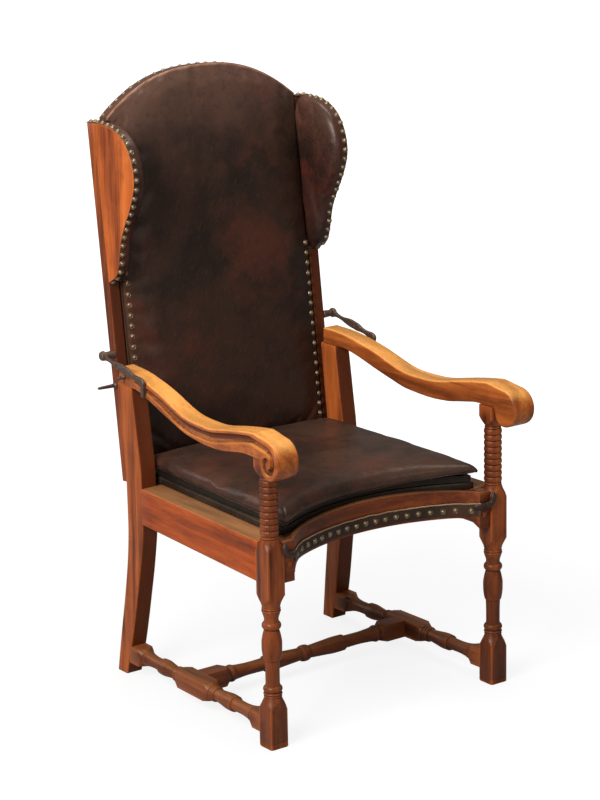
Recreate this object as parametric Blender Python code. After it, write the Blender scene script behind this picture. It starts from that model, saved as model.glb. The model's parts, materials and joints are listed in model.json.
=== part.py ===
"""Reclining wing armchair: turned oak frame, hinged leather back held by iron hook bars.

Metres, +Z up, the chair faces -Y, the sitter's left is +X. Lengths along the chair are written
from the axis of the front legs; the root empty then centres the chair over the origin.
"""
import math

import bmesh
import bpy
from mathutils import Vector
from mathutils.geometry import tessellate_polygon

# Fits
GAP = 0.0003                    # between pieces that touch
PIVOT_CLEARANCE = 0.0004        # radial play of a pin in its hole
RIGHT, LEFT = -1, 1             # sides as the sitter sees them

# Leg plan
FRONT_AXIS_X = 0.281            # front leg axis from the middle plane
BLOCK_HALF = 0.019              # half side of every square block
REAR_AXIS = ((0.0, 0.271), (0.335, 0.261), (0.700, 0.261))      # height, distance from the middle plane
REAR_HALF = 0.019
FOOT_TOP_Z = 0.087
SEAT_BLOCK_Z = (0.308, 0.407)
ARM_SEAT_Z = 0.596              # underside of the arm on the front post
ARM_REAR_Z = 0.632              # underside of the arm on the rear post
TOP_BLOCK = 0.030               # height of the square block under the arm
COLUMN_FOOT = 0.026             # shoulder from the seat block to the first groove
COLUMN_Z = (SEAT_BLOCK_Z[1] + COLUMN_FOOT, ARM_SEAT_Z - TOP_BLOCK - BLOCK_HALF)
COLUMN_RINGS = 9
COLUMN_RING_R = 0.0175
COLUMN_GROOVE_R = 0.0155
LEG_SIDES = 16
STRETCHER_SIDES = 12

# Turned profile of the front leg between foot and seat block: height, radius
LEG_TURNING = (
    (0.103, 0.0165), (0.1075, 0.0160), (0.1115, 0.0180), (0.1150, 0.0152), (0.1185, 0.0166),
    (0.122, 0.0176), (0.1255, 0.0166), (0.128, 0.0138), (0.132, 0.0132), (0.181, 0.0140),
    (0.184, 0.0166), (0.192, 0.0178), (0.204, 0.0188), (0.216, 0.0190), (0.230, 0.0172),
    (0.244, 0.0145), (0.247, 0.0175), (0.252, 0.0186), (0.257, 0.0175), (0.260, 0.0142),
    (0.264, 0.0138), (0.273, 0.0153), (0.282, 0.0177), (0.291, 0.0165))

# Rear leg seen from the side: height, edge
REAR_LEG_FRONT = ((0.0, 0.516), (FOOT_TOP_Z, 0.494), (0.180, 0.476), (0.276, 0.459), (0.335, 0.452),
                  (0.440, 0.452), (0.530, 0.463), (ARM_REAR_Z, 0.478))
REAR_LEG_BACK = ((0.0, 0.551), (FOOT_TOP_Z, 0.538), (0.180, 0.523), (0.276, 0.511), (0.335, 0.508),
                 (0.440, 0.509), (0.530, 0.518), (ARM_REAR_Z, 0.529))

# Stretchers
STRETCHER_Z = 0.046
STRETCHER_END = 0.030           # length of the square end block
CROSS_Y = 0.281
CROSS_BLOCK = 0.056             # half length of the middle block
# Vase between two blocks: share of the length, radius
STRETCHER_VASE = (
    (0.03, 0.0165), (0.08, 0.0175), (0.13, 0.0135), (0.18, 0.0125), (0.30, 0.0150), (0.42, 0.0172),
    (0.52, 0.0150), (0.58, 0.0135), (0.64, 0.0172), (0.70, 0.0135), (0.80, 0.0145), (0.90, 0.0172),
    (0.97, 0.0165))
CROSS_END = 0.90                # where the square end starts, share of the half length
# Cross stretcher from its middle to the square end: share of the half length, radius
CROSS_TURNING = (
    (0.00, 0.0175), (0.03, 0.0160), (0.06, 0.0128), (0.14, 0.0150), (0.24, 0.0172), (0.32, 0.0140),
    (0.35, 0.0172), (0.38, 0.0138), (0.60, 0.0150), (0.76, 0.0168), (0.79, 0.0140), (0.83, 0.0175),
    (0.87, 0.0165))

# Seat rails
RAIL_TOP_Z = 0.420
RAIL_BOTTOM_Z = 0.347
SIDE_RAIL_OUT = (0.297, 0.281)  # outer face at the front and at the rear
SIDE_RAIL_THICK = 0.060
REAR_RAIL_DEPTH = 0.040
HOLLOW_MID_Y = 0.065            # front face of the front rail at the middle
HOLLOW_RADIUS = 0.425
FRONT_RAIL_DEPTH = 0.036
FRONT_RAIL_SPLAY = 0.010        # width over which its rear face runs in to the leg
FRONT_RAIL_BOTTOM = ((0.0, 0.372), (0.203, 0.368), (0.234, 0.340), (0.262, 0.340))
STRIP_LOW, STRIP_TALL = 0.3695, 0.0235          # leather strip on the front rail
STRIP_LEG_ROOM = 0.016          # between the end of the strip and the leg
STRIP_HALF = FRONT_AXIS_X - BLOCK_HALF - STRIP_LEG_ROOM
LEATHER = 0.0025

# Hinge axis of the reclining back
HINGE_Y = 0.5055
HINGE_ABOVE_RAIL = 0.0065
HINGE_Z = RAIL_TOP_Z + HINGE_ABOVE_RAIL

# Slip seat and cushion
SLIP_SET_BACK = 0.016           # slip frame behind the face of the front rail
SLIP_LEG_ROOM = 0.006           # between the slip frame and the rear legs
SLIP_HALF = (0.2535, REAR_AXIS[-1][1] - REAR_HALF - SLIP_LEG_ROOM)     # half width, front and rear
SLIP_INSIDE = 0.205
SLIP_FRONT_DEPTH = 0.040
SLIP_REAR_DEPTH = 0.040
SLIP_HINGE_ROOM = 0.0155        # between the slip frame and the hinge axis
SLIP_REAR_Y = (HINGE_Y - SLIP_HINGE_ROOM - SLIP_REAR_DEPTH, HINGE_Y - SLIP_HINGE_ROOM)
SLIP_THICK = 0.0137
WEBBING = 0.002
WEBBING_INSET = 0.006           # webbing inside the rim of what it is tacked to
PAD_EDGE = 0.011
PAD_CROWN = 0.004
CUSHION_OVERHANG = 0.003
CUSHION_SET_BACK = 0.004
CUSHION_HINGE_ROOM = 0.0055     # between the cushion and the hinge axis
CUSHION_REAR_Y = HINGE_Y - CUSHION_HINGE_ROOM
CUSHION_EDGE = 0.008            # knife edge above the pad
CUSHION_CROWN = 0.026

# Outer faces of the reclining back
STILE_OUT = 0.268
STILE_WIDTH = 0.025
STILE_IN = STILE_OUT - STILE_WIDTH

# Arms
ARM_PROUD = 0.0135              # rear end of the arm outside the stile
ARM_REAR_WIDTH = 0.040
ARM_OUT = ((-0.09, 0.3210), (0.53, STILE_OUT + ARM_PROUD))         # outer face along the chair
ARM_IN = ((-0.09, 0.2670), (0.53, STILE_OUT + ARM_PROUD - ARM_REAR_WIDTH))
ARM_PAST_HINGE = 0.0145
ARM_END_Y = HINGE_Y + ARM_PAST_HINGE
ARM_EDGE = 0.004                # rounding of the long edges
SCROLL_DROP = 0.002             # middle of the scroll below the underside of the arm
SCROLL_Y, SCROLL_Z = -0.048, ARM_SEAT_Z - SCROLL_DROP
SCROLL_DEGREES = (80, 130, 180, 230, 280, 310, 338)                # about the scroll's middle
SCROLL_RADII = (0.0435, 0.0395, 0.0365, 0.0350, 0.0340, 0.0305, 0.0265)
SCROLL_ROLL = tuple(zip(SCROLL_DEGREES, SCROLL_RADII))
SCROLL_STEPS = 14
ARM_END_THICK = 0.034
# Side view of the arm: place along the chair, height above the underside at that post
ARM_TOP_REAR = ((0.470, 0.033), (0.420, 0.026), (0.370, 0.016), (0.330, 0.005), (0.290, -0.008))
ARM_TOP_FRONT = ((0.240, 0.019), (0.175, 0.019), (0.100, 0.032), (0.040, 0.043), (0.000, 0.048))
ARM_UNDER_FRONT = ((-0.0215, 0.0), (0.024, 0.0), (0.080, -0.008), (0.120, -0.015), (0.170, -0.018),
                   (0.245, -0.014))
ARM_UNDER_REAR = ((0.300, -0.038), (0.350, -0.025), (0.420, -0.006), (0.455, 0.0))

# Reclining back, lengths in the plane of the back from the hinge axis
RAKE = math.radians(6.65)       # upright position, behind the vertical
RECLINE = math.radians(18.0)    # from upright to where the hooks catch
STILE_FRONT, STILE_BACK = 0.013, 0.037
INNER_FRONT, INNER_BACK = 0.015, 0.035
INNER_SLOT, INNER_WIDTH = 0.0045, 0.0465        # gap beside the outer stile, width
INNER_OUT = STILE_IN - INNER_SLOT
INNER_IN = INNER_OUT - INNER_WIDTH
BOTTOM_RAIL_TOP = 0.055
MIDDLE_RAIL_LOW, MIDDLE_RAIL_TALL = 0.330, 0.040
CREST_END_Z, CREST_RISE = 0.738, 0.091          # foot of the arch, its rise to the middle
CREST_DEPTH = 0.058             # rail below the foot of the arch
CREST_BOTTOM = CREST_END_Z - CREST_DEPTH
STILE_PAST_CREST = 0.009        # top of the stile above the foot of the arch
STILE_Z = (-0.008, CREST_END_Z + STILE_PAST_CREST)
CREST_FULLNESS = 2.4            # exponent of the arch
CREST_STEPS = 16
PANEL_SLOT = 0.006              # between the leather panel and the stile
PANEL_HALF = STILE_IN - PANEL_SLOT
PANEL_LOW = 0.004               # lower edge of the leather above the edge of the bottom rail
PANEL_EDGE = 0.004
PANEL_CROWN = 0.016
COVER = 0.002
COVER_INSET = 0.004             # rear cover below the top of the crest

# Wings, outline of the board: depth, height
WING_OUTLINE = (
    (-0.020, 0.7345), (-0.053, 0.7275), (-0.081, 0.7135), (-0.102, 0.6930), (-0.1150, 0.6670),
    (-0.1205, 0.6400), (-0.119, 0.6150), (-0.109, 0.5890), (-0.090, 0.5580), (-0.068, 0.5280),
    (-0.050, 0.4980), (-0.039, 0.4660), (-0.029, 0.4400), (-0.017, 0.4240))
WING_TOP_Z, WING_FOOT_Z = CREST_END_Z, 0.410
WING_THICK = 0.018
WING_PAD_EDGE = 0.003
WING_PAD_FULL = 0.022
WING_PAD_REAR = 0.002
WING_PAD_INSET = 0.003

# Hinges
HINGE_X = 0.150                 # middle of the hinge
KNUCKLE = 0.030
BARREL_R = 0.0055
BARREL_SIDES = 12
HINGE_PIN_R = 0.0025
FRAME_LEAF = 0.048
BACK_LEAF = 0.034

# Ironwork
BOLT_DEPTH = 0.019              # in the plane of the back
BOLT_ABOVE_ARM = 0.0565         # bolt above the underside of the arm, along the back
BOLT_Z = ARM_REAR_Z - HINGE_Z + BOLT_ABOVE_ARM
BOLT_R = 0.0045
COLLAR_R = 0.0080
HEAD_R, HEAD_THICK = 0.0090, 0.004
BAR_ARM_ROOM = 0.010            # between the rear end of the arm and the hook bar
BAR_X = STILE_OUT + ARM_PROUD + BAR_ARM_ROOM    # inner face of the hook bar
BAR_THICK = 0.007
BAR_REACH, BAR_DROP = 0.146, 0.028      # from the bolt to the hook, upright
BAR_HALF = 0.006
EYE_R = 0.0105
PRONG_DROP = 0.030
PRONG_WIDTH = 0.007
PRONG_TAPER = 0.002
CATCH_R = 0.004
CATCH_CLEARANCE = 0.002
CATCH_BITE = 0.3                # share of the prong's height, from its tip
CATCH_PAST_BAR = 0.0045
CATCH_OUT = BAR_X + BAR_THICK + CATCH_PAST_BAR
PEG_DEPTH, PEG_BELOW_BOLT = 0.025, 0.066
PEG_Z = BOLT_Z - PEG_BELOW_BOLT
PEG_R, PEG_LENGTH = 0.0035, 0.044
PEG_COLLAR_R, PEG_COLLAR = 0.007, 0.004
ROUND_SIDES = 16

# Finishes: colour, roughness, metallic
OAK = ((0.42, 0.15, 0.045), 0.42, 0.0)
OAK_DARK = ((0.24, 0.075, 0.028), 0.40, 0.0)
HONEY = ((0.52, 0.24, 0.075), 0.38, 0.0)
PLAIN_WOOD = ((0.36, 0.20, 0.10), 0.60, 0.0)
HIDE = ((0.045, 0.019, 0.013), 0.36, 0.0)
CANVAS = ((0.35, 0.28, 0.19), 0.85, 0.0)
IRON = ((0.075, 0.050, 0.040), 0.55, 0.85)

SIDE_NAMES = {RIGHT: "right", LEFT: "left"}


def along(table, key):
    """Straight interpolation in a table of pairs sorted by its first value."""
    for (k0, v0), (k1, v1) in zip(table, table[1:]):
        if key <= k1:
            return v0 + (v1 - v0) * (key - k0) / (k1 - k0)
    return table[-1][1]


def hollow(x):
    """Front face of the hollowed front rail at a distance x from the middle."""
    return HOLLOW_MID_Y - HOLLOW_RADIUS + math.sqrt(HOLLOW_RADIUS ** 2 - x * x)


def circle(radius, sides, turn=0.0):
    """Points of a regular polygon around the origin."""
    return [(radius * math.cos(turn + 2 * math.pi * i / sides),
             radius * math.sin(turn + 2 * math.pi * i / sides)) for i in range(sides)]


def square(half, sides):
    """The same number of points as a turned section, laid on a square."""
    points = []
    for c, s in circle(1.0, sides, math.pi / sides if sides % 8 else 0.0):
        reach = half / max(abs(c), abs(s))
        points.append((c * reach, s * reach))
    return points


def turned(radius, sides):
    """Turned section whose points answer those of square()."""
    return circle(radius, sides, math.pi / sides if sides % 8 else 0.0)


def add_object(name, points, faces, finish, parent):
    """Closed mesh object with its own material under a parent empty."""
    mesh = bpy.data.meshes.new(name)
    mesh.from_pydata([tuple(p) for p in points], [], faces)
    work = bmesh.new()
    work.from_mesh(mesh)
    bmesh.ops.recalc_face_normals(work, faces=work.faces)
    if work.calc_volume(signed=True) < 0.0:
        bmesh.ops.reverse_faces(work, faces=work.faces)
    work.to_mesh(mesh)
    work.free()
    colour, roughness, metallic = finish
    material = bpy.data.materials.new(name)
    material.use_nodes = True
    shader = material.node_tree.nodes["Principled BSDF"]
    shader.inputs["Base Color"].default_value = (*colour, 1.0)
    shader.inputs["Roughness"].default_value = roughness
    shader.inputs["Metallic"].default_value = metallic
    mesh.materials.append(material)
    item = bpy.data.objects.new(name, mesh)
    item.parent = parent
    bpy.context.scene.collection.objects.link(item)
    return item


def add_empty(name, place, tilt=0.0, parent=None):
    """Empty that carries a body; a moving body's empty lies on its joint axis."""
    item = bpy.data.objects.new(name, None)
    item.location = place
    item.rotation_euler = (tilt, 0.0, 0.0)
    item.parent = parent
    bpy.context.scene.collection.objects.link(item)
    return item


def loft(name, rings, finish, parent):
    """Solid through rings of equally many points, closed at both ends."""
    count = len(rings[0])
    points = [Vector(p) for ring in rings for p in ring]
    faces = []
    for k in range(len(rings) - 1):
        for i in range(count):
            j = (i + 1) % count
            faces.append((k * count + i, k * count + j, (k + 1) * count + j, (k + 1) * count + i))
    for start in (0, (len(rings) - 1) * count):
        cap = tessellate_polygon([points[start:start + count]])
        faces.extend(tuple(start + i for i in tri) for tri in cap)
    return add_object(name, points, faces, finish, parent)


def plate(name, loops, span, place, finish, parent):
    """Outline, with any holes, carried from span[0] to span[1]; place(u, v, w) gives the point."""
    flat = [p for loop in loops for p in loop]
    points = [Vector(place(u, v, w)) for w in span for u, v in flat]
    cap = tessellate_polygon([[Vector((u, v, 0.0)) for u, v in loop] for loop in loops])
    faces = [tuple(tri) for tri in cap] + [tuple(i + len(flat) for i in tri) for tri in cap]
    start = 0
    for loop in loops:
        for i in range(len(loop)):
            a, b = start + i, start + (i + 1) % len(loop)
            faces.append((a, b, b + len(flat), a + len(flat)))
        start += len(loop)
    return add_object(name, points, faces, finish, parent)


def box(name, xs, ys, zs, finish, parent):
    """Plain block."""
    rings = [[(x, ys[0], zs[0]), (x, ys[1], zs[0]), (x, ys[1], zs[1]), (x, ys[0], zs[1])] for x in xs]
    return loft(name, rings, finish, parent)


def stepped_rod(name, place, steps, finish, parent):
    """Round rod along X made of steps (end of the step, radius), starting at steps[0]."""
    y, z = place
    rings, x = [], steps[0]
    for end, radius in steps[1:]:
        for at in (x, end):
            rings.append([(at, y + c, z + s) for c, s in circle(radius, ROUND_SIDES)])
        x = end
    return loft(name, rings, finish, parent)


def shell(name, upper, lower, shared_edge, finish, parent):
    """Pad between two grids of points; with shared_edge the rims are one knife edge."""
    rows, columns = len(upper), len(upper[0])
    points, index = [], {}
    for layer, grid in enumerate((upper, lower)):
        for i in range(rows):
            for j in range(columns):
                rim = i in (0, rows - 1) or j in (0, columns - 1)
                if layer and rim and shared_edge:
                    index[layer, i, j] = index[0, i, j]
                    continue
                index[layer, i, j] = len(points)
                points.append(grid[i][j])
    faces = []
    for layer in (0, 1):
        for i in range(rows - 1):
            for j in range(columns - 1):
                quad = [index[layer, i, j], index[layer, i + 1, j], index[layer, i + 1, j + 1],
                        index[layer, i, j + 1]]
                faces.append(tuple(quad if layer == 0 else reversed(quad)))
    if not shared_edge:
        rim = [(0, j) for j in range(columns)] + [(i, columns - 1) for i in range(1, rows)]
        rim += [(rows - 1, j) for j in range(columns - 2, -1, -1)] + [(i, 0) for i in range(rows - 2, 0, -1)]
        for a, b in zip(rim, rim[1:] + rim[:1]):
            faces.append((index[(0,) + a], index[(0,) + b], index[(1,) + b], index[(1,) + a]))
    return add_object(name, points, faces, finish, parent)


def front_leg(side, parent):
    """Front leg with its ring-turned arm post, one piece of wood."""
    x = side * FRONT_AXIS_X
    sections = [(0.0, square(BLOCK_HALF, LEG_SIDES)), (FOOT_TOP_Z, square(BLOCK_HALF, LEG_SIDES))]
    sections += [(z, turned(r, LEG_SIDES)) for z, r in LEG_TURNING]
    sections += [(z, square(BLOCK_HALF, LEG_SIDES)) for z in SEAT_BLOCK_Z]
    low, high = COLUMN_Z
    pitch = (high - low) / COLUMN_RINGS
    for k in range(COLUMN_RINGS):
        sections.append((low + k * pitch, turned(COLUMN_GROOVE_R, LEG_SIDES)))
        sections.append((low + (k + 0.5) * pitch, turned(COLUMN_RING_R, LEG_SIDES)))
    sections.append((high, turned(COLUMN_GROOVE_R, LEG_SIDES)))
    block_low = high + BLOCK_HALF
    sections += [(z, square(BLOCK_HALF, LEG_SIDES)) for z in (block_low, ARM_SEAT_Z - GAP)]
    rings = [[(x + a, b, z) for a, b in points] for z, points in sections]
    loft("front_leg_" + SIDE_NAMES[side], rings, OAK_DARK, parent)


def rear_leg(side, parent):
    """Rear leg sawn to a curve and carried up to the arm."""
    levels = sorted({z for z, _ in REAR_LEG_FRONT + REAR_LEG_BACK})
    levels[-1] -= GAP
    rings = []
    for z in levels:
        x, front, rear = along(REAR_AXIS, z), along(REAR_LEG_FRONT, z), along(REAR_LEG_BACK, z)
        inner, outer = side * (x - REAR_HALF), side * (x + REAR_HALF)
        rings.append([(inner, front, z), (outer, front, z), (outer, rear, z), (inner, rear, z)])
    loft("rear_leg_" + SIDE_NAMES[side], rings, OAK, parent)


def stretcher_x(y):
    """Middle line of a side stretcher, from the front leg to the rear leg."""
    share = y / along(REAR_LEG_FRONT, STRETCHER_Z)
    return FRONT_AXIS_X + (along(REAR_AXIS, STRETCHER_Z) - FRONT_AXIS_X) * share


def side_stretcher(side, parent):
    """Stretcher from foot to foot with a square middle block."""
    front = BLOCK_HALF + GAP
    back = along(REAR_LEG_FRONT, STRETCHER_Z) - GAP
    blocks = ((front, front + STRETCHER_END), (CROSS_Y - CROSS_BLOCK, CROSS_Y + CROSS_BLOCK),
              (back - STRETCHER_END, back))
    sections = []
    for k, (start, end) in enumerate(blocks):
        sections += [(y, square(BLOCK_HALF - GAP, STRETCHER_SIDES)) for y in (start, end)]
        if k + 1 < len(blocks):
            room = blocks[k + 1][0] - end
            vase = STRETCHER_VASE if k == 0 else [(1 - s, r) for s, r in reversed(STRETCHER_VASE)]
            sections += [(end + s * room, turned(r, STRETCHER_SIDES)) for s, r in vase]
    rings = []
    for k, (y, points) in enumerate(sections):
        ring = []
        for a, b in points:
            z = STRETCHER_Z + b
            reach = along(REAR_LEG_FRONT, z) - GAP if k == len(sections) - 1 else y
            ring.append((side * (stretcher_x(y) + a), reach, z))
        rings.append(ring)
    loft("side_stretcher_" + SIDE_NAMES[side], rings, OAK_DARK, parent)


def cross_stretcher(parent):
    """Turned rail between the middle blocks of the side stretchers."""
    half = stretcher_x(CROSS_Y) - BLOCK_HALF
    outer = [(s * half, turned(r, STRETCHER_SIDES)) for s, r in CROSS_TURNING]
    end = square(BLOCK_HALF - 2 * GAP, STRETCHER_SIDES)
    outer += [(CROSS_END * half, end), (half, end)]
    rings = []
    for x, points in [(-x, p) for x, p in reversed(outer[1:])] + outer:
        ring = []
        for a, b in points:
            y = CROSS_Y + a
            at = x
            if abs(x) == half:
                at = math.copysign(stretcher_x(y) - BLOCK_HALF, x)
            ring.append((at, y, STRETCHER_Z + b))
        rings.append(ring)
    loft("cross_stretcher", rings, OAK_DARK, parent)


def seat_rails(parent):
    """Four rails round the seat; the front one is hollowed and has end brackets."""
    levels = (RAIL_BOTTOM_Z, RAIL_TOP_Z)
    ends = (BLOCK_HALF + GAP, along(REAR_LEG_FRONT, RAIL_TOP_Z) - GAP)
    for side in (RIGHT, LEFT):
        rings = []
        for y, out in zip(ends, SIDE_RAIL_OUT):
            a, b = side * out, side * (out - SIDE_RAIL_THICK)
            rings.append([(a, y, levels[0]), (b, y, levels[0]), (b, y, levels[1]), (a, y, levels[1])])
        loft("seat_rail_" + SIDE_NAMES[side], rings, OAK, parent)
    half = along(REAR_AXIS, RAIL_BOTTOM_Z) - REAR_HALF - GAP
    rear = HINGE_Y - plate_half() - GAP
    box("seat_rail_rear", (-half, half), (rear - REAR_RAIL_DEPTH, rear), levels, OAK, parent)

    tip = FRONT_AXIS_X - BLOCK_HALF - GAP
    butt = SIDE_RAIL_OUT[0] - SIDE_RAIL_THICK - GAP
    stations = [x for x, _ in FRONT_RAIL_BOTTOM[:-1]] + [STRIP_HALF * k / 8 for k in range(1, 9)]
    stations = sorted({*stations, butt - FRONT_RAIL_SPLAY, butt, tip})
    stations = [-x for x in reversed(stations[1:])] + stations
    rings = []
    for x in stations:
        reach = abs(x)
        front = hollow(reach)
        back = front + FRONT_RAIL_DEPTH if reach < butt else BLOCK_HALF - GAP
        low = along(FRONT_RAIL_BOTTOM, reach)
        rings.append([(x, front, low), (x, back, low), (x, back, RAIL_TOP_Z), (x, front, RAIL_TOP_Z)])
    loft("seat_rail_front", rings, OAK, parent)

    rings = []
    for x in [x for x in stations if abs(x) <= STRIP_HALF]:
        near, far = hollow(x) - LEATHER - GAP, hollow(x) - GAP
        low, high = STRIP_LOW, STRIP_LOW + STRIP_TALL
        rings.append([(x, near, low), (x, far, low), (x, far, high), (x, near, high)])
    loft("front_rail_leather", rings, HIDE, parent)


def seat_grid(half, set_back, rear, columns, rows, height):
    """Grid over the seat plan, front edge hollowed like the rail; height(u, v) is the level."""
    grid = []
    for i in range(rows + 1):
        v = i / rows
        width = half[0] + (half[1] - half[0]) * v
        row = []
        for j in range(columns + 1):
            u = 2 * j / columns - 1
            x = u * width
            front = hollow(x) + set_back
            row.append((x, front + (rear - front) * v, height(u, 2 * v - 1)))
        grid.append(row)
    return grid


def slip_seat(parent):
    """Slip frame of four rails, webbing, leather pad and the loose cushion."""
    low = RAIL_TOP_Z + GAP
    top = low + SLIP_THICK
    inside = SLIP_INSIDE
    for side in (RIGHT, LEFT):
        rings = []
        for y_of, out in ((lambda x: hollow(x) + SLIP_SET_BACK, SLIP_HALF[0]),
                          (lambda x: SLIP_REAR_Y[1], SLIP_HALF[1])):
            rings.append([(side * out, y_of(out), low), (side * inside, y_of(inside), low),
                          (side * inside, y_of(inside), top), (side * out, y_of(out), top)])
        loft("slip_rail_" + SIDE_NAMES[side], rings, PLAIN_WOOD, parent)
    half = inside - GAP
    box("slip_rail_rear", (-half, half), SLIP_REAR_Y, (low, top), PLAIN_WOOD, parent)
    rings = []
    for k in range(-6, 7):
        x = half * k / 6
        near = hollow(x) + SLIP_SET_BACK
        far = near + SLIP_FRONT_DEPTH
        rings.append([(x, near, low), (x, far, low), (x, far, top), (x, near, top)])
    loft("slip_rail_front", rings, PLAIN_WOOD, parent)

    web_low = top + GAP
    web_top = web_low + WEBBING
    grids = [seat_grid([w - WEBBING_INSET for w in SLIP_HALF], SLIP_SET_BACK + WEBBING_INSET,
                       SLIP_REAR_Y[1] - WEBBING_INSET, 8, 2, lambda u, v, z=z: z)
             for z in (web_top, web_low)]
    shell("seat_webbing", *grids, False, CANVAS, parent)

    pad_low = web_top + GAP
    pad_top = pad_low + PAD_EDGE
    upper = seat_grid(SLIP_HALF, SLIP_SET_BACK, SLIP_REAR_Y[1], 10, 6,
                      lambda u, v: pad_top + PAD_CROWN * (1 - u ** 4) * (1 - v ** 4))
    lower = seat_grid(SLIP_HALF, SLIP_SET_BACK, SLIP_REAR_Y[1], 10, 6, lambda u, v: pad_low)
    shell("seat_pad", upper, lower, False, HIDE, parent)

    rest = pad_top + GAP
    half = [w + CUSHION_OVERHANG for w in SLIP_HALF]
    rows, columns = 16, 18

    def bulge(u, v):
        """Share of the crown: full in the middle, none at the drawn-in rim."""
        return ((1 - u ** 4) * (1 - v ** 4)) ** 0.7

    upper = seat_grid(half, CUSHION_SET_BACK, CUSHION_REAR_Y, columns, rows,
                      lambda u, v: rest + CUSHION_EDGE + CUSHION_CROWN * bulge(u, v))
    lower = seat_grid(half, CUSHION_SET_BACK, CUSHION_REAR_Y, columns, rows,
                      lambda u, v: rest + PAD_CROWN * (1 - u ** 4) * (1 - v ** 4)
                      + CUSHION_EDGE * (1 - min(1.0, 3 * (1 - u ** 4) * (1 - v ** 4))))
    shell("seat_cushion", upper, lower, True, HIDE, parent)


def arm(side, parent):
    """Wavy arm that rolls over into a scroll in front of its post."""
    first, last = SCROLL_ROLL[0][0], SCROLL_ROLL[-1][0]
    roll = []
    for k in range(SCROLL_STEPS + 1):
        degrees = first + (last - first) * k / SCROLL_STEPS
        reach, turn = along(SCROLL_ROLL, degrees), math.radians(degrees)
        roll.append((SCROLL_Y + reach * math.cos(turn), SCROLL_Z + reach * math.sin(turn)))
    top = [(ARM_END_Y, ARM_REAR_Z + ARM_END_THICK)] + [(y, ARM_REAR_Z + h) for y, h in ARM_TOP_REAR]
    top += [(y, ARM_SEAT_Z + h) for y, h in ARM_TOP_FRONT]
    under = [(y, ARM_SEAT_Z + h) for y, h in ARM_UNDER_FRONT]
    under += [(y, ARM_REAR_Z + h) for y, h in ARM_UNDER_REAR] + [(ARM_END_Y, ARM_REAR_Z)]
    outline = top + roll + under
    inset = []
    for k, (y, z) in enumerate(outline):
        (y0, z0), (y1, z1) = outline[k - 1], outline[(k + 1) % len(outline)]
        length = math.hypot(y1 - y0, z1 - z0)
        inset.append((y - ARM_EDGE * (z1 - z0) / length, z + ARM_EDGE * (y1 - y0) / length))
    rings = []
    for face, sign, points in ((ARM_IN, 0, inset), (ARM_IN, 1, outline), (ARM_OUT, -1, outline),
                               (ARM_OUT, 0, inset)):
        ring = []
        for y, z in points:
            ring.append((side * (along(face, y) + sign * ARM_EDGE), y, z))
        rings.append(ring)
    loft("arm_" + SIDE_NAMES[side], rings, HONEY, parent)


def plate_half():
    """Half thickness of a hinge leaf: the leaf grows from one flat of the barrel."""
    return BARREL_R * math.sin(math.pi / BARREL_SIDES)


def hinge_leaf(name, length, down, span, parent, origin):
    """Barrel with its leaf, running down or to the rear from the hinge axis."""
    half = plate_half()
    turn = (-math.pi / 2 if down else 0.0) + math.pi / BARREL_SIDES
    outer = circle(BARREL_R, BARREL_SIDES, turn)
    tip = [(-half, -length), (half, -length)] if down else [(length, -half), (length, half)]
    outer = outer + tip
    hole = circle(HINGE_PIN_R + PIVOT_CLEARANCE, BARREL_SIDES, turn)
    y0, z0 = origin
    plate(name, [outer, hole], span, lambda y, z, x: (x, y0 + y, z0 + z), IRON, parent)


def hinges(frame, back):
    """Two lift-off hinges between the rear seat rail and the back."""
    for side in (RIGHT, LEFT):
        label = SIDE_NAMES[side]
        low, middle, high = HINGE_X - KNUCKLE, HINGE_X, HINGE_X + KNUCKLE
        axis = (HINGE_Y, HINGE_Z)
        hinge_leaf("hinge_frame_leaf_" + label, FRAME_LEAF, True, (side * low, side * middle), frame, axis)
        hinge_leaf("hinge_back_leaf_" + label, BACK_LEAF, False,
                   (side * (middle + GAP), side * high), back, (0.0, 0.0))
        stepped_rod("hinge_pin_" + label, axis, (side * low, (side * high, HINGE_PIN_R)), IRON, frame)


def arch(x, lift=0.0):
    """Top line of the crest at a distance x from the middle."""
    share = min(1.0, abs(x) / STILE_IN)
    return CREST_END_Z + CREST_RISE * (1 - share ** CREST_FULLNESS) + lift


def crest_stations():
    """Distances from the middle at which the crest and its leather have a section."""
    return [PANEL_HALF * (2 * k / CREST_STEPS - 1) for k in range(CREST_STEPS + 1)]


def back_frame(back):
    """Outer stiles, inner stiles and rails of the reclining back."""
    depth = (INNER_FRONT, INNER_BACK)
    bottom = plate_half() + GAP
    for side in (RIGHT, LEFT):
        label = SIDE_NAMES[side]
        box("back_stile_" + label, (side * STILE_IN, side * STILE_OUT), (STILE_FRONT, STILE_BACK), STILE_Z,
            OAK, back)
        box("inner_stile_" + label, (side * INNER_IN, side * INNER_OUT), depth,
            (BOTTOM_RAIL_TOP + GAP, CREST_BOTTOM - GAP), PLAIN_WOOD, back)
    half = STILE_IN - GAP
    box("back_bottom_rail", (-half, half), depth, (bottom, BOTTOM_RAIL_TOP), PLAIN_WOOD, back)
    inner = INNER_IN - GAP
    box("back_middle_rail", (-inner, inner), depth,
        (MIDDLE_RAIL_LOW, MIDDLE_RAIL_LOW + MIDDLE_RAIL_TALL), PLAIN_WOOD, back)
    rings = []
    for x in [-half] + crest_stations() + [half]:
        rings.append([(x, depth[0], CREST_BOTTOM), (x, depth[1], CREST_BOTTOM), (x, depth[1], arch(x)),
                      (x, depth[0], arch(x))])
    loft("crest_rail", rings, PLAIN_WOOD, back)


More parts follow.
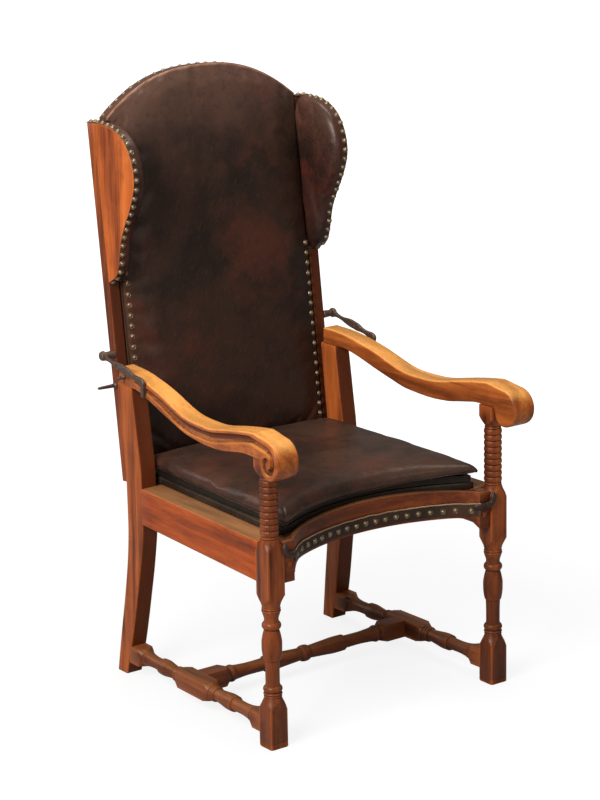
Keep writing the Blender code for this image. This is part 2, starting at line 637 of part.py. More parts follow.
def back_leather(back):
    """Webbing, crowned leather panel, rear cover and the leather over the crest."""
    bottom = plate_half() + GAP
    low = bottom + PANEL_LOW

    def rows_of(half, lift, level, columns, rows):
        """Grid over the back, its top edge following the crest; level(u, v) is the depth."""
        grid = []
        for i in range(rows + 1):
            v = i / rows
            row = []
            for j in range(columns + 1):
                u = 2 * j / columns - 1
                x = u * half
                row.append((x, level(u, 2 * v - 1), low + (arch(x, lift) - low) * v))
            grid.append(row)
        return grid

    web_back = INNER_FRONT - GAP
    web_front = web_back - WEBBING
    flat = [rows_of(PANEL_HALF - WEBBING_INSET, -WEBBING_INSET, lambda u, v, y=y: y, 10, 2)
            for y in (web_front, web_back)]
    shell("back_webbing", *flat, False, CANVAS, back)

    panel_back = web_front - GAP
    front = rows_of(PANEL_HALF, LEATHER + GAP, lambda u, v: panel_back - PANEL_EDGE
                    - PANEL_CROWN * (1 - u ** 4) * (1 - v ** 6), 14, 14)
    rear = rows_of(PANEL_HALF, LEATHER + GAP, lambda u, v: panel_back, 14, 14)
    shell("back_panel", front, rear, False, HIDE, back)

    cover_front = INNER_BACK + GAP
    flat = [rows_of(PANEL_HALF, -COVER_INSET, lambda u, v, y=y: y, 12, 2)
            for y in (cover_front, cover_front + COVER)]
    shell("back_cover", *flat, False, HIDE, back)

    rings = []
    for x in crest_stations():
        near, far = panel_back + GAP, INNER_BACK + COVER
        z0, z1 = arch(x, GAP), arch(x, GAP + LEATHER)
        rings.append([(x, near, z0), (x, far, z0), (x, far, z1), (x, near, z1)])
    loft("crest_leather", rings, HIDE, back)


def wings(back):
    """Wing boards on the fronts of the stiles and the leather pads on their inner faces."""
    rear = STILE_FRONT - GAP
    outline = [(rear, WING_TOP_Z)] + list(WING_OUTLINE) + [(rear, WING_FOOT_Z)]
    edge = sorted((z, y) for y, z in WING_OUTLINE)
    low, high = edge[0][0] + WING_PAD_INSET, edge[-1][0] - WING_PAD_INSET
    inner = STILE_OUT - WING_THICK - GAP
    rows, columns = 16, 8
    for side in (RIGHT, LEFT):
        label = SIDE_NAMES[side]
        plate("wing_board_" + label, [outline], (side * (STILE_OUT - WING_THICK), side * STILE_OUT),
              lambda y, z, x: (x, y, z), OAK, back)
        faces = []
        for swell in (1.0, 0.0):
            grid = []
            for i in range(rows + 1):
                v = i / rows
                z = low + (high - low) * v
                front = along(edge, z) + WING_PAD_INSET
                row = []
                for j in range(columns + 1):
                    u = j / columns
                    y = WING_PAD_REAR + (front - WING_PAD_REAR) * u
                    full = (1 - u ** 3) ** 0.8 * (1 - (2 * v - 1) ** 6)
                    thick = WING_PAD_EDGE + (WING_PAD_FULL - WING_PAD_EDGE) * full
                    row.append((side * (inner - swell * thick), y, z))
                grid.append(row)
            faces.append(grid)
        shell("wing_pad_" + label, *faces, False, HIDE, back)


def hook_outline():
    """Side view of the hook bar about its bolt: eye, bar, prong turned down at the tip."""
    reach = math.hypot(BAR_REACH, BAR_DROP)
    slope = math.atan2(-BAR_DROP, -BAR_REACH)
    c, s = math.cos(slope), math.sin(slope)

    def on_bar(length, off):
        """Point at a length along the bar, off to its upper side."""
        return (c * length + s * off, s * length - c * off)

    open_angle = math.asin(BAR_HALF / EYE_R)
    eye = []
    for k in range(ROUND_SIDES):
        turn = slope + open_angle + (2 * math.pi - 2 * open_angle) * k / (ROUND_SIDES - 1)
        eye.append((EYE_R * math.cos(turn), EYE_R * math.sin(turn)))
    tip_top = on_bar(reach, BAR_HALF)
    nose = on_bar(reach + BAR_HALF, 0.0)
    nose_low = (nose[0], nose[1] - BAR_HALF)
    prong_rear_top = on_bar(reach - PRONG_WIDTH, -BAR_HALF)
    prong_front = (nose[0] + PRONG_TAPER, nose[1] - PRONG_DROP)
    prong_rear = (prong_rear_top[0], nose[1] - PRONG_DROP)
    return eye + [tip_top, nose, nose_low, prong_front, prong_rear, prong_rear_top]


def catch_place():
    """Catch pin on the arm, where the prong arrives when the back is fully reclined."""
    c, s = math.cos(RAKE), math.sin(RAKE)
    bolt = (BOLT_DEPTH * c + BOLT_Z * s, -BOLT_DEPTH * s + BOLT_Z * c)
    prong_rear, prong_top = hook_outline()[-2], hook_outline()[-1]
    y = bolt[0] + prong_rear[0]
    z = bolt[1] + prong_rear[1] + CATCH_BITE * (prong_top[1] - prong_rear[1])
    c, s = math.cos(RECLINE), math.sin(RECLINE)
    return (HINGE_Y + y * c + z * s + CATCH_R + CATCH_CLEARANCE, HINGE_Z - y * s + z * c)


def ironwork(frame, back):
    """Bolts and pegs on the stiles, hook bars on the bolts, catch pins on the arms."""
    for side in (RIGHT, LEFT):
        label = SIDE_NAMES[side]
        start = STILE_OUT + GAP
        bar_out = BAR_X + BAR_THICK
        stepped_rod("bar_bolt_" + label, (BOLT_DEPTH, BOLT_Z),
                    (side * start, (side * (BAR_X - GAP), COLLAR_R), (side * (bar_out + GAP), BOLT_R),
                     (side * (bar_out + GAP + HEAD_THICK), HEAD_R)), IRON, back)
        stepped_rod("stile_peg_" + label, (PEG_DEPTH, PEG_Z),
                    (side * start, (side * (start + PEG_COLLAR), PEG_COLLAR_R),
                     (side * (start + PEG_LENGTH), PEG_R)), IRON, back)
        pivot = add_empty("hook_pivot_" + label, (0.0, BOLT_DEPTH, BOLT_Z), RAKE, back)
        hole = circle(BOLT_R + PIVOT_CLEARANCE, ROUND_SIDES)
        plate("hook_bar_" + label, [hook_outline(), hole], (side * BAR_X, side * bar_out),
              lambda y, z, x: (x, y, z), IRON, pivot)
        catch = catch_place()
        stepped_rod("catch_pin_" + label, catch, (side * (along(ARM_OUT, catch[0]) + GAP),
                                                  (side * CATCH_OUT, CATCH_R)), IRON, frame)


def main():
    """Build the chair in an empty scene."""
    for item in list(bpy.data.objects):
        bpy.data.objects.remove(item, do_unlink=True)
    rear_most = HINGE_Y + (INNER_BACK + COVER) * math.cos(RAKE) + arch(0, GAP + LEATHER) * math.sin(RAKE)
    front_most = SCROLL_Y - along(SCROLL_ROLL, 180)
    frame = add_empty("frame_root", (0.0, -0.5 * (front_most + rear_most), 0.0))
    back = add_empty("back_pivot", (0.0, HINGE_Y, HINGE_Z), -RAKE, frame)
    for side in (RIGHT, LEFT):
        front_leg(side, frame)
        rear_leg(side, frame)
        side_stretcher(side, frame)
        arm(side, frame)
    cross_stretcher(frame)
    seat_rails(frame)
    slip_seat(frame)
    hinges(frame, back)
    back_frame(back)
    back_leather(back)
    wings(back)
    ironwork(frame, back)


main()
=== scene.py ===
"""Looks of the reclining wing armchair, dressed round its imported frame.

Lengths on the frame are written from the axis of the front legs, and lengths on the reclining back
from its hinge axis, as a joiner would measure them; the body of a piece then lays it in the scene.
"""

import bisect
import json
import logging
import math
import random
from dataclasses import dataclass
from enum import Enum
from functools import cached_property
from typing import Callable, Iterable, Optional, Sequence, Union

import bmesh
import bpy
from mathutils import Matrix, Vector, noise
from mathutils.bvhtree import BVHTree
from mathutils.kdtree import KDTree


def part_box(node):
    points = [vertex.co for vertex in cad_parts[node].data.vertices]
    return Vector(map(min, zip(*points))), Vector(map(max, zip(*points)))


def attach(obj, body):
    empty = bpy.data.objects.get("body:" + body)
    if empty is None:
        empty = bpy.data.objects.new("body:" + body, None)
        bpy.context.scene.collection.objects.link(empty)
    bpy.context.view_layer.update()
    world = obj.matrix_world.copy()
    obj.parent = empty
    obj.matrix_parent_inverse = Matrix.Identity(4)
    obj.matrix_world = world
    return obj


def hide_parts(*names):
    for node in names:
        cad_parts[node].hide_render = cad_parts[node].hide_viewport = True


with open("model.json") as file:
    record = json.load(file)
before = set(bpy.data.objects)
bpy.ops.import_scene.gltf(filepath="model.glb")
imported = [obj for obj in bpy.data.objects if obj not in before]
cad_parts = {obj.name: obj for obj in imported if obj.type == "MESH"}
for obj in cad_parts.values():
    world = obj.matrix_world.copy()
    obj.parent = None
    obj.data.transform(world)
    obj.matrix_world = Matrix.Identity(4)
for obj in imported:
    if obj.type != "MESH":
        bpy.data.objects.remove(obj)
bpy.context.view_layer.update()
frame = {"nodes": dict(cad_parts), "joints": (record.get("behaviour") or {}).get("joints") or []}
LOG = logging.getLogger("armchair")

Colour = tuple[float, float, float]
Spot = tuple[float, float, float]
Pair = tuple[float, float]
Table = tuple[Pair, ...]
Number = Union[float, "Value"]
Item = bpy.types.Object
Sheet = Callable[[float, float], Spot]      # point of a sheet at u, v from -1 to 1

TOUCH = 0.0003                  # gap that the solids keep where they meet
RAKE = math.radians(6.65)       # upright back, behind the vertical
SHARP = math.radians(38.0)      # edges over this angle are shaded sharp
DRESSED = "_dressed"            # end of the name of a piece that stands for a node
LEATHER = {"quality": 5, "mass": 0.35, "tension_stiffness": 18.0, "compression_stiffness": 18.0,
           "shear_stiffness": 8.0, "bending_stiffness": 0.8, "use_pressure": True}      # as a cloth


def lerp(a: float, b: float, share: float) -> float:
    """Value between a and b."""
    return a + (b - a) * share


def clamp(value: float, high: float = 1.0) -> float:
    """Value kept between zero and a limit."""
    return max(0.0, min(high, value))


def sine(value: float) -> float:
    """Share from -1 to 1, its steps drawn closer together towards both ends."""
    return math.sin(0.5 * math.pi * value)


def evenly(a: float, b: float, count: int) -> list[float]:
    """Values from a to b in even steps, both ends included."""
    return [lerp(a, b, k / count) for k in range(count + 1)]


def circle(count: int) -> list[Pair]:
    """Cosine and sine of even steps round a circle."""
    return [(math.cos(turn), math.sin(turn)) for turn in evenly(0.0, 2.0 * math.pi, count)[:-1]]


def straight(table: Table, key: float) -> float:
    """Value on the straight line through two pairs of place and value."""
    (k0, v0), (k1, v1) = table
    return lerp(v0, v1, (key - k0) / (k1 - k0))


def eased(table: Sequence[Pair], key: float) -> float:
    """Smooth interpolation without overshoot in a table of pairs sorted by their first value.

    Args:
        table: Pairs of place and value.
        key: Place to read.

    Returns:
        Value of a monotone cubic through the table, flat where the table turns back.
    """
    k = max(0, min(len(table) - 2, bisect.bisect_right([place for place, _ in table], key) - 1))
    near = table[max(0, k - 1):k + 3]
    secants = [(v1 - v0) / (k1 - k0) for (k0, v0), (k1, v1) in zip(near, near[1:])]
    inner = [0.0 if a * b <= 0.0 else 2.0 * a * b / (a + b) for a, b in zip(secants, secants[1:])]
    slopes = [secants[0], *inner, secants[-1]][min(k, 1):]
    (k0, v0), (k1, v1) = table[k], table[k + 1]
    t = (key - k0) / (k1 - k0)
    m0, m1 = slopes[0] * (k1 - k0), slopes[1] * (k1 - k0)
    return (v0 * (1 + 2 * t) * (1 - t) ** 2 + m0 * t * (1 - t) ** 2
            + v1 * t * t * (3 - 2 * t) + m1 * t * t * (t - 1))


def spline(points: Sequence[Pair], steps: int) -> list[Pair]:
    """Smooth open line through evenly spaced points.

    Args:
        points: Points in a plane.
        steps: Pieces to each stretch between two points.

    Returns:
        Points of the line, ends included.
    """
    first = tuple(2 * a - b for a, b in zip(points[0], points[1]))
    last = tuple(2 * a - b for a, b in zip(points[-1], points[-2]))
    ends = [first, *points, last]
    line: list[Pair] = []
    for p0, p1, p2, p3 in zip(ends, ends[1:], ends[2:], ends[3:]):
        for t in (k / steps for k in range(steps)):
            line.append(tuple(
                0.5 * (2 * b + (c - a) * t + (2 * a - 5 * b + 4 * c - d) * t * t
                       + (3 * b - a - 3 * c + d) * t ** 3) for a, b, c, d in zip(p0, p1, p2, p3)))
    line.append(tuple(points[-1]))
    return line


def headings(line: Sequence[Pair], closed: bool = False) -> list[Pair]:
    """Directions of a line.

    Args:
        line: Points in a plane.
        closed: True if the last point is followed by the first.

    Returns:
        Unit direction at each point, taken from its neighbours.
    """
    ends = [line[-1], *line, line[0]] if closed else [line[0], *line, line[-1]]
    ways = []
    for (a0, b0), (a1, b1) in zip(ends, ends[2:]):
        length = math.hypot(a1 - a0, b1 - b0)
        ways.append(((a1 - a0) / length, (b1 - b0) / length))
    return ways


def spaced(line: Sequence[Pair], pitch: float, margin: float = 0.0) -> list[tuple[Pair, Pair]]:
    """Places at an even pitch along a line, with the line's direction there.

    Args:
        line: Points of the line.
        pitch: Wished distance between places; the true one divides the length evenly.
        margin: Length left free at both ends.

    Returns:
        Pairs of place and unit direction.
    """
    lengths = [0.0]
    for (a0, b0), (a1, b1) in zip(line, line[1:]):
        lengths.append(lengths[-1] + math.hypot(a1 - a0, b1 - b0))
    room = lengths[-1] - 2 * margin
    places = []
    for at in evenly(margin, margin + room, max(1, round(room / pitch))):
        i = max(1, min(len(line) - 1, bisect.bisect_left(lengths, at)))
        (a0, b0), (a1, b1) = line[i - 1], line[i]
        run = lengths[i] - lengths[i - 1]
        share = (at - lengths[i - 1]) / run
        places.append(((lerp(a0, a1, share), lerp(b0, b1, share)), ((a1 - a0) / run, (b1 - b0) / run)))
    return places


def worn(corners: Sequence[Pair], radius: float, segments: int = 3, guard: float = 0.003) -> list[Pair]:
    """Section of a timber with worn corners.

    Args:
        corners: Corners of the section, in order.
        radius: Radius of the corners.
        segments: Pieces of each corner.
        guard: Distance of the points that keep the flats flat.

    Returns:
        Points round the section.
    """
    points = []
    for k, corner in enumerate(corners):
        spot = Vector(corner)
        a = (Vector(corners[k - 1]) - spot).normalized()
        b = (Vector(corners[(k + 1) % len(corners)]) - spot).normalized()
        points.append(spot + (radius + guard) * a)
        for turn in evenly(0.0, 0.5 * math.pi, segments):
            points.append(spot + radius * (1.0 - math.sin(turn)) * a + radius * (1.0 - math.cos(turn)) * b)
        points.append(spot + (radius + guard) * b)
    return [(point.x, point.y) for point in points]


def rounded(low: Pair, high: Pair, radius: float, segments: int = 3, guard: float = 0.003) -> list[Pair]:
    """Section of a squared timber between two corners, worn like any other section."""
    return worn((high, (low[0], high[1]), low, (high[0], low[1])), radius, segments, guard)


class Side(Enum):
    """Sides as the sitter sees them; the value is the sign of X."""

    RIGHT = -1
    LEFT = 1

    def named(self, name: str) -> str:
        """Name of a piece on this side."""
        return f"{name}_{self.name.lower()}"

    def section(self, reach: Pair, other: Pair, radius: float, segments: int = 3,
                guard: float = 0.003) -> list[Pair]:
        """Worn section that lies between two distances from the middle plane."""
        low, high = sorted(self.value * distance for distance in reach)
        return rounded((low, other[0]), (high, other[1]), radius, segments, guard)


class Axis(Enum):
    """Direction of the grain, or one that sections are laid across."""

    X = 0
    Y = 1
    Z = 2

    def stretch(self, share: float) -> Spot:
        """Scale of a pattern that is drawn out along this axis."""
        return tuple(share if k == self.value else 1.0 for k in range(3))

    def at(self, place: float, section: Iterable[Pair]) -> list[Spot]:
        """Points of a section that lies across this axis at a place along it."""
        return [(*pair[:self.value], place, *pair[self.value:]) for pair in section]


class Mark(Enum):
    """Attributes that a piece's mesh may carry for its finish."""

    UP = "up"
    FRONT = "front"
    # carved hollows and a shaded band, for dirt and painted shade
    HOLLOW = "hollow"

    def put(self, item: Item, values: Sequence[float]) -> None:
        """Write one value for each vertex."""
        item.data.attributes.new(self.value, "FLOAT", "POINT").data.foreach_set("value", values)


def chair_matrix() -> Matrix:
    """Matrix from lengths off the front leg axis to the scene."""
    low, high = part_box("front_leg_right")
    return Matrix.Translation((0.0, 0.5 * (low.y + high.y), 0.0))


def back_matrix() -> Matrix:
    """Matrix from lengths off the hinge axis, in the plane of the back, to the scene."""
    joint = next(j for j in frame["joints"] if j["name"] == "back_recline")
    return Matrix.Translation(joint["pos_m"]) @ Matrix.Rotation(-RAKE, 4, "X")


CHAIR = chair_matrix()
BACK = back_matrix()


class Body(Enum):
    """Bodies of the frame that pieces ride on."""

    FRAME = "frame"
    BACK = "back"
    HOOK_RIGHT = "hook_bar_right"
    HOOK_LEFT = "hook_bar_left"

    @property
    def place(self) -> Matrix:
        """Matrix from lengths on the body to the scene; the hook bars are laid in the scene itself."""
        return {Body.FRAME: CHAIR, Body.BACK: BACK}.get(self, Matrix.Identity(4))

    def local(self, point: Vector) -> Vector:
        """Point of the scene in lengths on the body."""
        return self.place.inverted() @ point


class Value:
    """Shader socket that takes part in arithmetic."""

    def __init__(self, recipe: "Recipe", socket: bpy.types.NodeSocket) -> None:
        """Value that a socket of a recipe gives."""
        self.recipe = recipe
        self.socket = socket

    def _math(self, operation: str, first: Number, second: Number) -> "Value":
        """Math node on two values."""
        return self.recipe.node("ShaderNodeMath", {"operation": operation}, {0: first, 1: second})

    def __add__(self, other: Number) -> "Value":
        """Sum."""
        return self._math("ADD", self, other)

    __radd__ = __add__

    def __mul__(self, other: Number) -> "Value":
        """Product."""
        return self._math("MULTIPLY", self, other)

    __rmul__ = __mul__

    def __sub__(self, other: Number) -> "Value":
        """Difference."""
        return self._math("SUBTRACT", self, other)

    def __rsub__(self, other: Number) -> "Value":
        """Difference from a number."""
        return self._math("SUBTRACT", other, self)


class Recipe:
    """Node tree of one material."""

    def __init__(self, name: str) -> None:
        """Start a material.

        Args:
            name: Name of the material.
        """
        self.material = bpy.data.materials.new(name)
        self.material.use_nodes = True
        self.tree = self.material.node_tree
        self.shader = self.tree.nodes["Principled BSDF"]

    def node(self, kind: str, settings: dict, inputs: dict, out: Union[int, str] = 0) -> Value:
        """Add a node.

        Args:
            kind: Blender's type name.
            settings: Properties of the node, and stops for a colour ramp, set first.
            inputs: Value or link of each socket, by name or number.
            out: Output to use.

        Returns:
            The output as a value.
        """
        node = self.tree.nodes.new(kind)
        for key, value in settings.items():
            if key == "stops":
                while len(node.color_ramp.elements) < len(value):
                    node.color_ramp.elements.new(1.0)
                for element, (place, colour) in zip(node.color_ramp.elements, value):
                    element.position = place
                    element.color = (*colour, 1.0)
            else:
                setattr(node, key, value)
        for key, value in inputs.items():
            self.feed(node.inputs[key], value)
        return Value(self, node.outputs[out])

    def feed(self, socket: bpy.types.NodeSocket, value: Union[Number, Colour]) -> None:
        """Link or set one socket.

        Args:
            socket: Input of a node.
            value: Value to link, or number or colour to set.
        """
        if isinstance(value, Value):
            self.tree.links.new(value.socket, socket)
        elif isinstance(value, tuple) and socket.type == "RGBA":
            socket.default_value = (*value, 1.0)
        else:
            socket.default_value = value

    def place(self, scale: Spot = (1.0, 1.0, 1.0), shift: float = 0.0) -> Value:
        """Object coordinates, stretched and shifted."""
        spot = self.node("ShaderNodeTexCoord", {}, {}, "Object")
        return self.node("ShaderNodeMapping", {}, {
            "Vector": spot, "Location": (shift, 0.7 * shift, 0.4 * shift), "Scale": scale})

    def clouds(self, at: Value, scale: float, detail: float = 3.0, rough: float = 0.55,
               twist: float = 0.0) -> Value:
        """Noise between 0 and 1."""
        return self.node("ShaderNodeTexNoise", {}, {
            "Vector": at, "Scale": scale, "Detail": detail, "Roughness": rough, "Distortion": twist})

    def cells(self, at: Value, scale: float, feature: str = "F1") -> Value:
        """Distance within cells, or from their edges."""
        return self.node("ShaderNodeTexVoronoi", {"feature": feature}, {
            "Vector": at, "Scale": scale}, "Distance")

    def between(self, value: Value, low: float, high: float) -> Value:
        """Smooth step from 0 at low to 1 at high."""
        return self.node("ShaderNodeMapRange", {"interpolation_type": "SMOOTHSTEP"}, {
            "Value": value, "From Min": low, "From Max": high})

    def mix(self, share: Number, a: Union[Colour, Value], b: Union[Colour, Value],
            blend: str = "MIX") -> Value:
        """Colour between a and b."""
        return self.node("ShaderNodeMix", {"data_type": "RGBA", "blend_type": blend, "clamp_factor": True},
                         {0: share, 6: a, 7: b}, 2)

    def ramp(self, value: Value, *stops: tuple[float, Colour]) -> Value:
        """Colour ramp."""
        return self.node("ShaderNodeValToRGB", {"stops": stops}, {"Fac": value})

    def mark(self, mark: Mark) -> Value:
        """Attribute of the mesh."""
        return self.node("ShaderNodeAttribute", {"attribute_name": mark.value}, {}, "Fac")

    def edges(self) -> Value:
        """Convexity of the surface, one half where it is flat."""
        return self.node("ShaderNodeNewGeometry", {}, {}, "Pointiness")

    def warped(self, at: Value, scale: float, amount: float) -> Value:
        """Coordinates pushed about by noise."""
        push = self.node("ShaderNodeTexNoise", {}, {"Vector": at, "Scale": scale}, "Color")
        return self.node("ShaderNodeVectorMath", {"operation": "MULTIPLY_ADD"}, {
            0: push, 1: (amount,) * 3, 2: at})

    def bump(self, height: Value, strength: float, depth: float, under: Optional[Value] = None) -> Value:
        """Normal from a height.

        Args:
            height: Height of the surface.
            strength: Share of the effect.
            depth: Depth of a height of 1.
            under: Another normal that it lies on.

        Returns:
            The normal.
        """
        inputs = {"Height": height, "Strength": strength, "Distance": depth}
        if under is not None:
            inputs["Normal"] = under
        return self.node("ShaderNodeBump", {}, inputs)

    def finish(self, **sockets: Union[Number, Colour]) -> bpy.types.Material:
        """Set the shader's sockets.

        Args:
            sockets: Values by name, with _ for a space.

        Returns:
            The material.
        """
        for key, value in sockets.items():
            self.feed(self.shader.inputs[key.replace("_", " ")], value)
        return self.material


class Finish:
    """Base of the finishes; a material is made once and then shared."""

    made: dict["Finish", bpy.types.Material] = {}

    def material(self) -> bpy.types.Material:
        """Make or find the material.

        Returns:
            Material of this finish.
        """
        if self not in Finish.made:
            Finish.made[self] = self.mixed()
        return Finish.made[self]

    def mixed(self) -> bpy.types.Material:
        """Build the material."""
        raise NotImplementedError


@dataclass(frozen=True)
class Wood(Finish):
    """Waxed old timber: streaks along the grain, pores, blotches, grime and painted shade in hollows, worn
    edges that also carry a painted highlight.
    """

    name: str
    light: Colour
    middle: Colour
    dark: Colour
    grain: Axis
    shift: float
    roughness: float = 0.4
    # lightening of convex edges: wear, and on the turned beads a painted highlight
    wear: float = 0.55
    faded: Colour = (0.4, 0.165, 0.058)     # colour of faces that look up, paler from real fading and dust and from painted light from above
    fading: float = 0.3
    shade: float = 0.0                      # painted shade on faces that look forward
    soil: float = 0.0                       # darkening towards the floor

    def mixed(self) -> bpy.types.Material:
        """Build the material; faces marked up are paler from real fading and painted light, and those marked
        hollow hold dirt and painted shade.

        Returns:
            The material.
        """
        mix = Recipe(self.name)
        plain = mix.place(shift=self.shift)
        drawn = mix.place(self.grain.stretch(0.07), self.shift)
        fibre = mix.place(self.grain.stretch(0.018), self.shift)
        figure = mix.clouds(drawn, 16.0, 3.0, 0.5, 1.3)
        streak = mix.clouds(drawn, 85.0, 4.0, 0.6, 0.5)
        pores = mix.clouds(fibre, 620.0, 2.0, 0.5)
        blotch = mix.clouds(plain, 11.0, 4.0, 0.6)
        fleck = mix.clouds(plain, 150.0, 2.0, 0.5)
        tone = 0.55 * figure + 0.3 * streak + 0.15 * blotch
        colour = mix.ramp(tone, (0.38, self.dark), (0.5, self.middle), (0.62, self.light))
        pale = mix.ramp(tone, (0.36, tuple(0.55 * c for c in self.faded)), (0.62, self.faded))
        up, front, hollow = (mix.mark(mark) for mark in (Mark.UP, Mark.FRONT, Mark.HOLLOW))
        vein = mix.clouds(mix.place(self.grain.stretch(0.012), self.shift + 2.0), 170.0, 2.0, 0.5, 0.4)
        colour = mix.mix(0.6 * mix.between(vein, 0.62, 0.74), colour, self.dark)
        # faces that look up grow paler: partly real fading and dust, partly painted light from above; marked
        # hollows are spared
        fade_and_light = mix.between(up + 0.3 * (blotch - 0.5) - 1.0 * hollow, 0.35, 0.9)
        colour = mix.mix(self.fading * fade_and_light, colour, pale)
        # painted shade on faces that look forward
        colour = mix.mix(self.shade * mix.between(front, 0.55, 0.9), colour, self.dark)
        # darker towards the floor
        rise = mix.node("ShaderNodeSeparateXYZ", {}, {0: mix.place()}, "Z")
        colour = mix.mix(self.soil * (1.0 - mix.between(rise, 0.02, 0.38)), colour, self.dark)
        colour = mix.mix(0.55 * mix.between(blotch, 0.52, 0.74), colour, self.dark)
        colour = mix.mix(0.45 * mix.between(pores, 0.56, 0.72), colour, tuple(0.45 * c for c in self.dark))
        convex = mix.edges()
        # convex edges lighter: wear together with a painted highlight
        colour = mix.mix(self.wear * mix.between(convex, 0.515, 0.57), colour, self.light)
        # darker where concave and in marked hollows: grime together with painted shade
        grime = mix.between(0.04 * fleck - 1.0 * convex + 0.05 * hollow, -0.472, -0.43)
        colour = mix.mix(0.75 * grime, colour, tuple(0.22 * c for c in self.dark))
        dent = mix.between(fleck + 0.5 * (blotch - 0.5), 0.66, 0.78)
        colour = mix.mix(0.3 * dent, colour, self.dark)
        height = 0.6 * pores + 0.4 * streak - 0.5 * dent
        rough = self.roughness + 0.16 * (pores - 0.5) + 0.22 * (blotch - 0.5) + 0.15 * grime
        return mix.finish(Base_Color=colour, Roughness=rough, Specular_IOR_Level=0.22,
                          Specular_Tint=(1.0, 0.84, 0.68), Normal=mix.bump(height, 0.22, 0.0006))


@dataclass(frozen=True)
class Hide(Finish):
    """Old upholstery leather: mottled, rubbed red in patches, with a fine grain and creases."""

    name: str
    deep: Colour
    brown: Colour
    red: Colour
    worn: Colour
    shift: float
    roughness: float = 0.36
    crease: float = 0.5
    edge: float = 0.55                      # wear on edges
    bloom: Pair = (8.0, 9.0)                # heights between which the leather is painted paler: painted light on its upper parts
    lean: float = 0.0                       # slant of the fine scratches
    rim: Colour = (0.27, 0.128, 0.076)      # colour of rims marked as rubbed: worn leather with a painted highlight on the rolled edge

    def mixed(self) -> bpy.types.Material:
        """Build the material.

        Returns:
            The material.
        """
        mix = Recipe(self.name)
        plain = mix.place(shift=self.shift)
        patch = mix.clouds(plain, 7.0, 5.0, 0.62)
        rubbed = mix.clouds(mix.place(shift=self.shift + 3.1), 5.0, 4.0, 0.6)
        mottle = mix.clouds(plain, 60.0, 4.0, 0.6)
        grain = mix.cells(mix.warped(plain, 300.0, 0.0012), 620.0)
        wander = mix.warped(plain, 22.0, 0.035)
        folds = mix.cells(wander, 48.0, "DISTANCE_TO_EDGE")
        where = mix.between(mix.clouds(mix.place(shift=self.shift + 7.7), 9.0, 2.0), 0.48, 0.62)
        line = (1.0 - mix.between(folds, 0.0, 0.055)) * where
        slant = mix.node("ShaderNodeMapping", {"vector_type": "TEXTURE"}, {
            "Vector": mix.place(shift=self.shift + 5.0), "Rotation": (0.0, self.lean, 0.0),
            "Scale": (1.0, 1.0, 8.0)})
        scuff = mix.between(mix.clouds(slant, 380.0, 2.0, 0.5, 0.6), 0.54, 0.76)
        colour = mix.mix(mix.between(patch, 0.36, 0.62), self.deep, self.brown)
        colour = mix.mix(0.8 * mix.between(rubbed, 0.5, 0.7), colour, self.red)
        rise = mix.node("ShaderNodeSeparateXYZ", {}, {0: mix.place()}, "Z")
        # painted light: the leather grows paler towards its upper parts
        colour = mix.mix(0.4 * mix.between(rise + 0.2 * (patch - 0.5), *self.bloom), colour, self.worn)
        colour = mix.mix(0.35 * mix.between(mottle, 0.5, 0.72), colour, self.deep)
        colour = mix.mix(0.15 * scuff, colour, self.worn)
        colour = mix.mix(1.1 * self.crease * line, colour, tuple(0.4 * c for c in self.deep))
        colour = mix.mix(self.edge * mix.between(mix.edges(), 0.515, 0.6), colour, self.worn)
        # rubbed rim: worn leather with a painted highlight on the rolled top edge
        rubbed_and_lit_rim = mix.between(mix.mark(Mark.UP) + 0.5 * (mottle - 0.5), 0.35, 0.85)
        colour = mix.mix(0.8 * rubbed_and_lit_rim, colour, self.rim)
        creased = mix.bump(folds * where, self.crease, 0.0022)
        pebbled = mix.bump(0.6 * grain + 0.4 * mottle, 0.3, 0.0006, creased)
        rough = self.roughness + 0.25 * (mottle - 0.5) + 0.1 * grain + 0.12 * line
        return mix.finish(Base_Color=colour, Roughness=rough, Specular_IOR_Level=0.28,
                          Specular_Tint=(1.0, 0.86, 0.74), Normal=pebbled)


@dataclass(frozen=True)
class Metal(Finish):
    """Aged metal: clean colour rubbed through a dull skin."""

    name: str
    clean: Colour
    dull: Colour
    skin: float
    metallic: float
    roughness: float
    pits: float

    def mixed(self) -> bpy.types.Material:
        """Build the material.

        Returns:
            The material.
        """
        mix = Recipe(self.name)
        plain = mix.place()
        cloud = mix.clouds(plain, 140.0, 5.0, 0.65)
        fine = mix.clouds(plain, 900.0, 3.0, 0.6)
        convex = mix.edges()
        rubbed = mix.between(convex + 0.35 * (cloud - 0.5), 0.5, 0.6)
        colour = mix.mix(mix.between(cloud, 0.5 - self.skin, 0.5 + self.skin), self.clean, self.dull)
        colour = mix.mix(0.6 * rubbed, colour, self.clean)
        grime = mix.between(0.4 * fine - 1.0 * convex, -0.32, -0.2)
        colour = mix.mix(0.6 * grime, colour, tuple(0.3 * c for c in self.dull))
        rough = self.roughness + 0.3 * (cloud - 0.5) + 0.2 * grime
        metal = self.metallic - 0.5 * grime
        return mix.finish(Base_Color=colour, Roughness=rough, Metallic=metal,
                          Normal=mix.bump(0.7 * cloud + 0.3 * fine, self.pits, 0.0012))


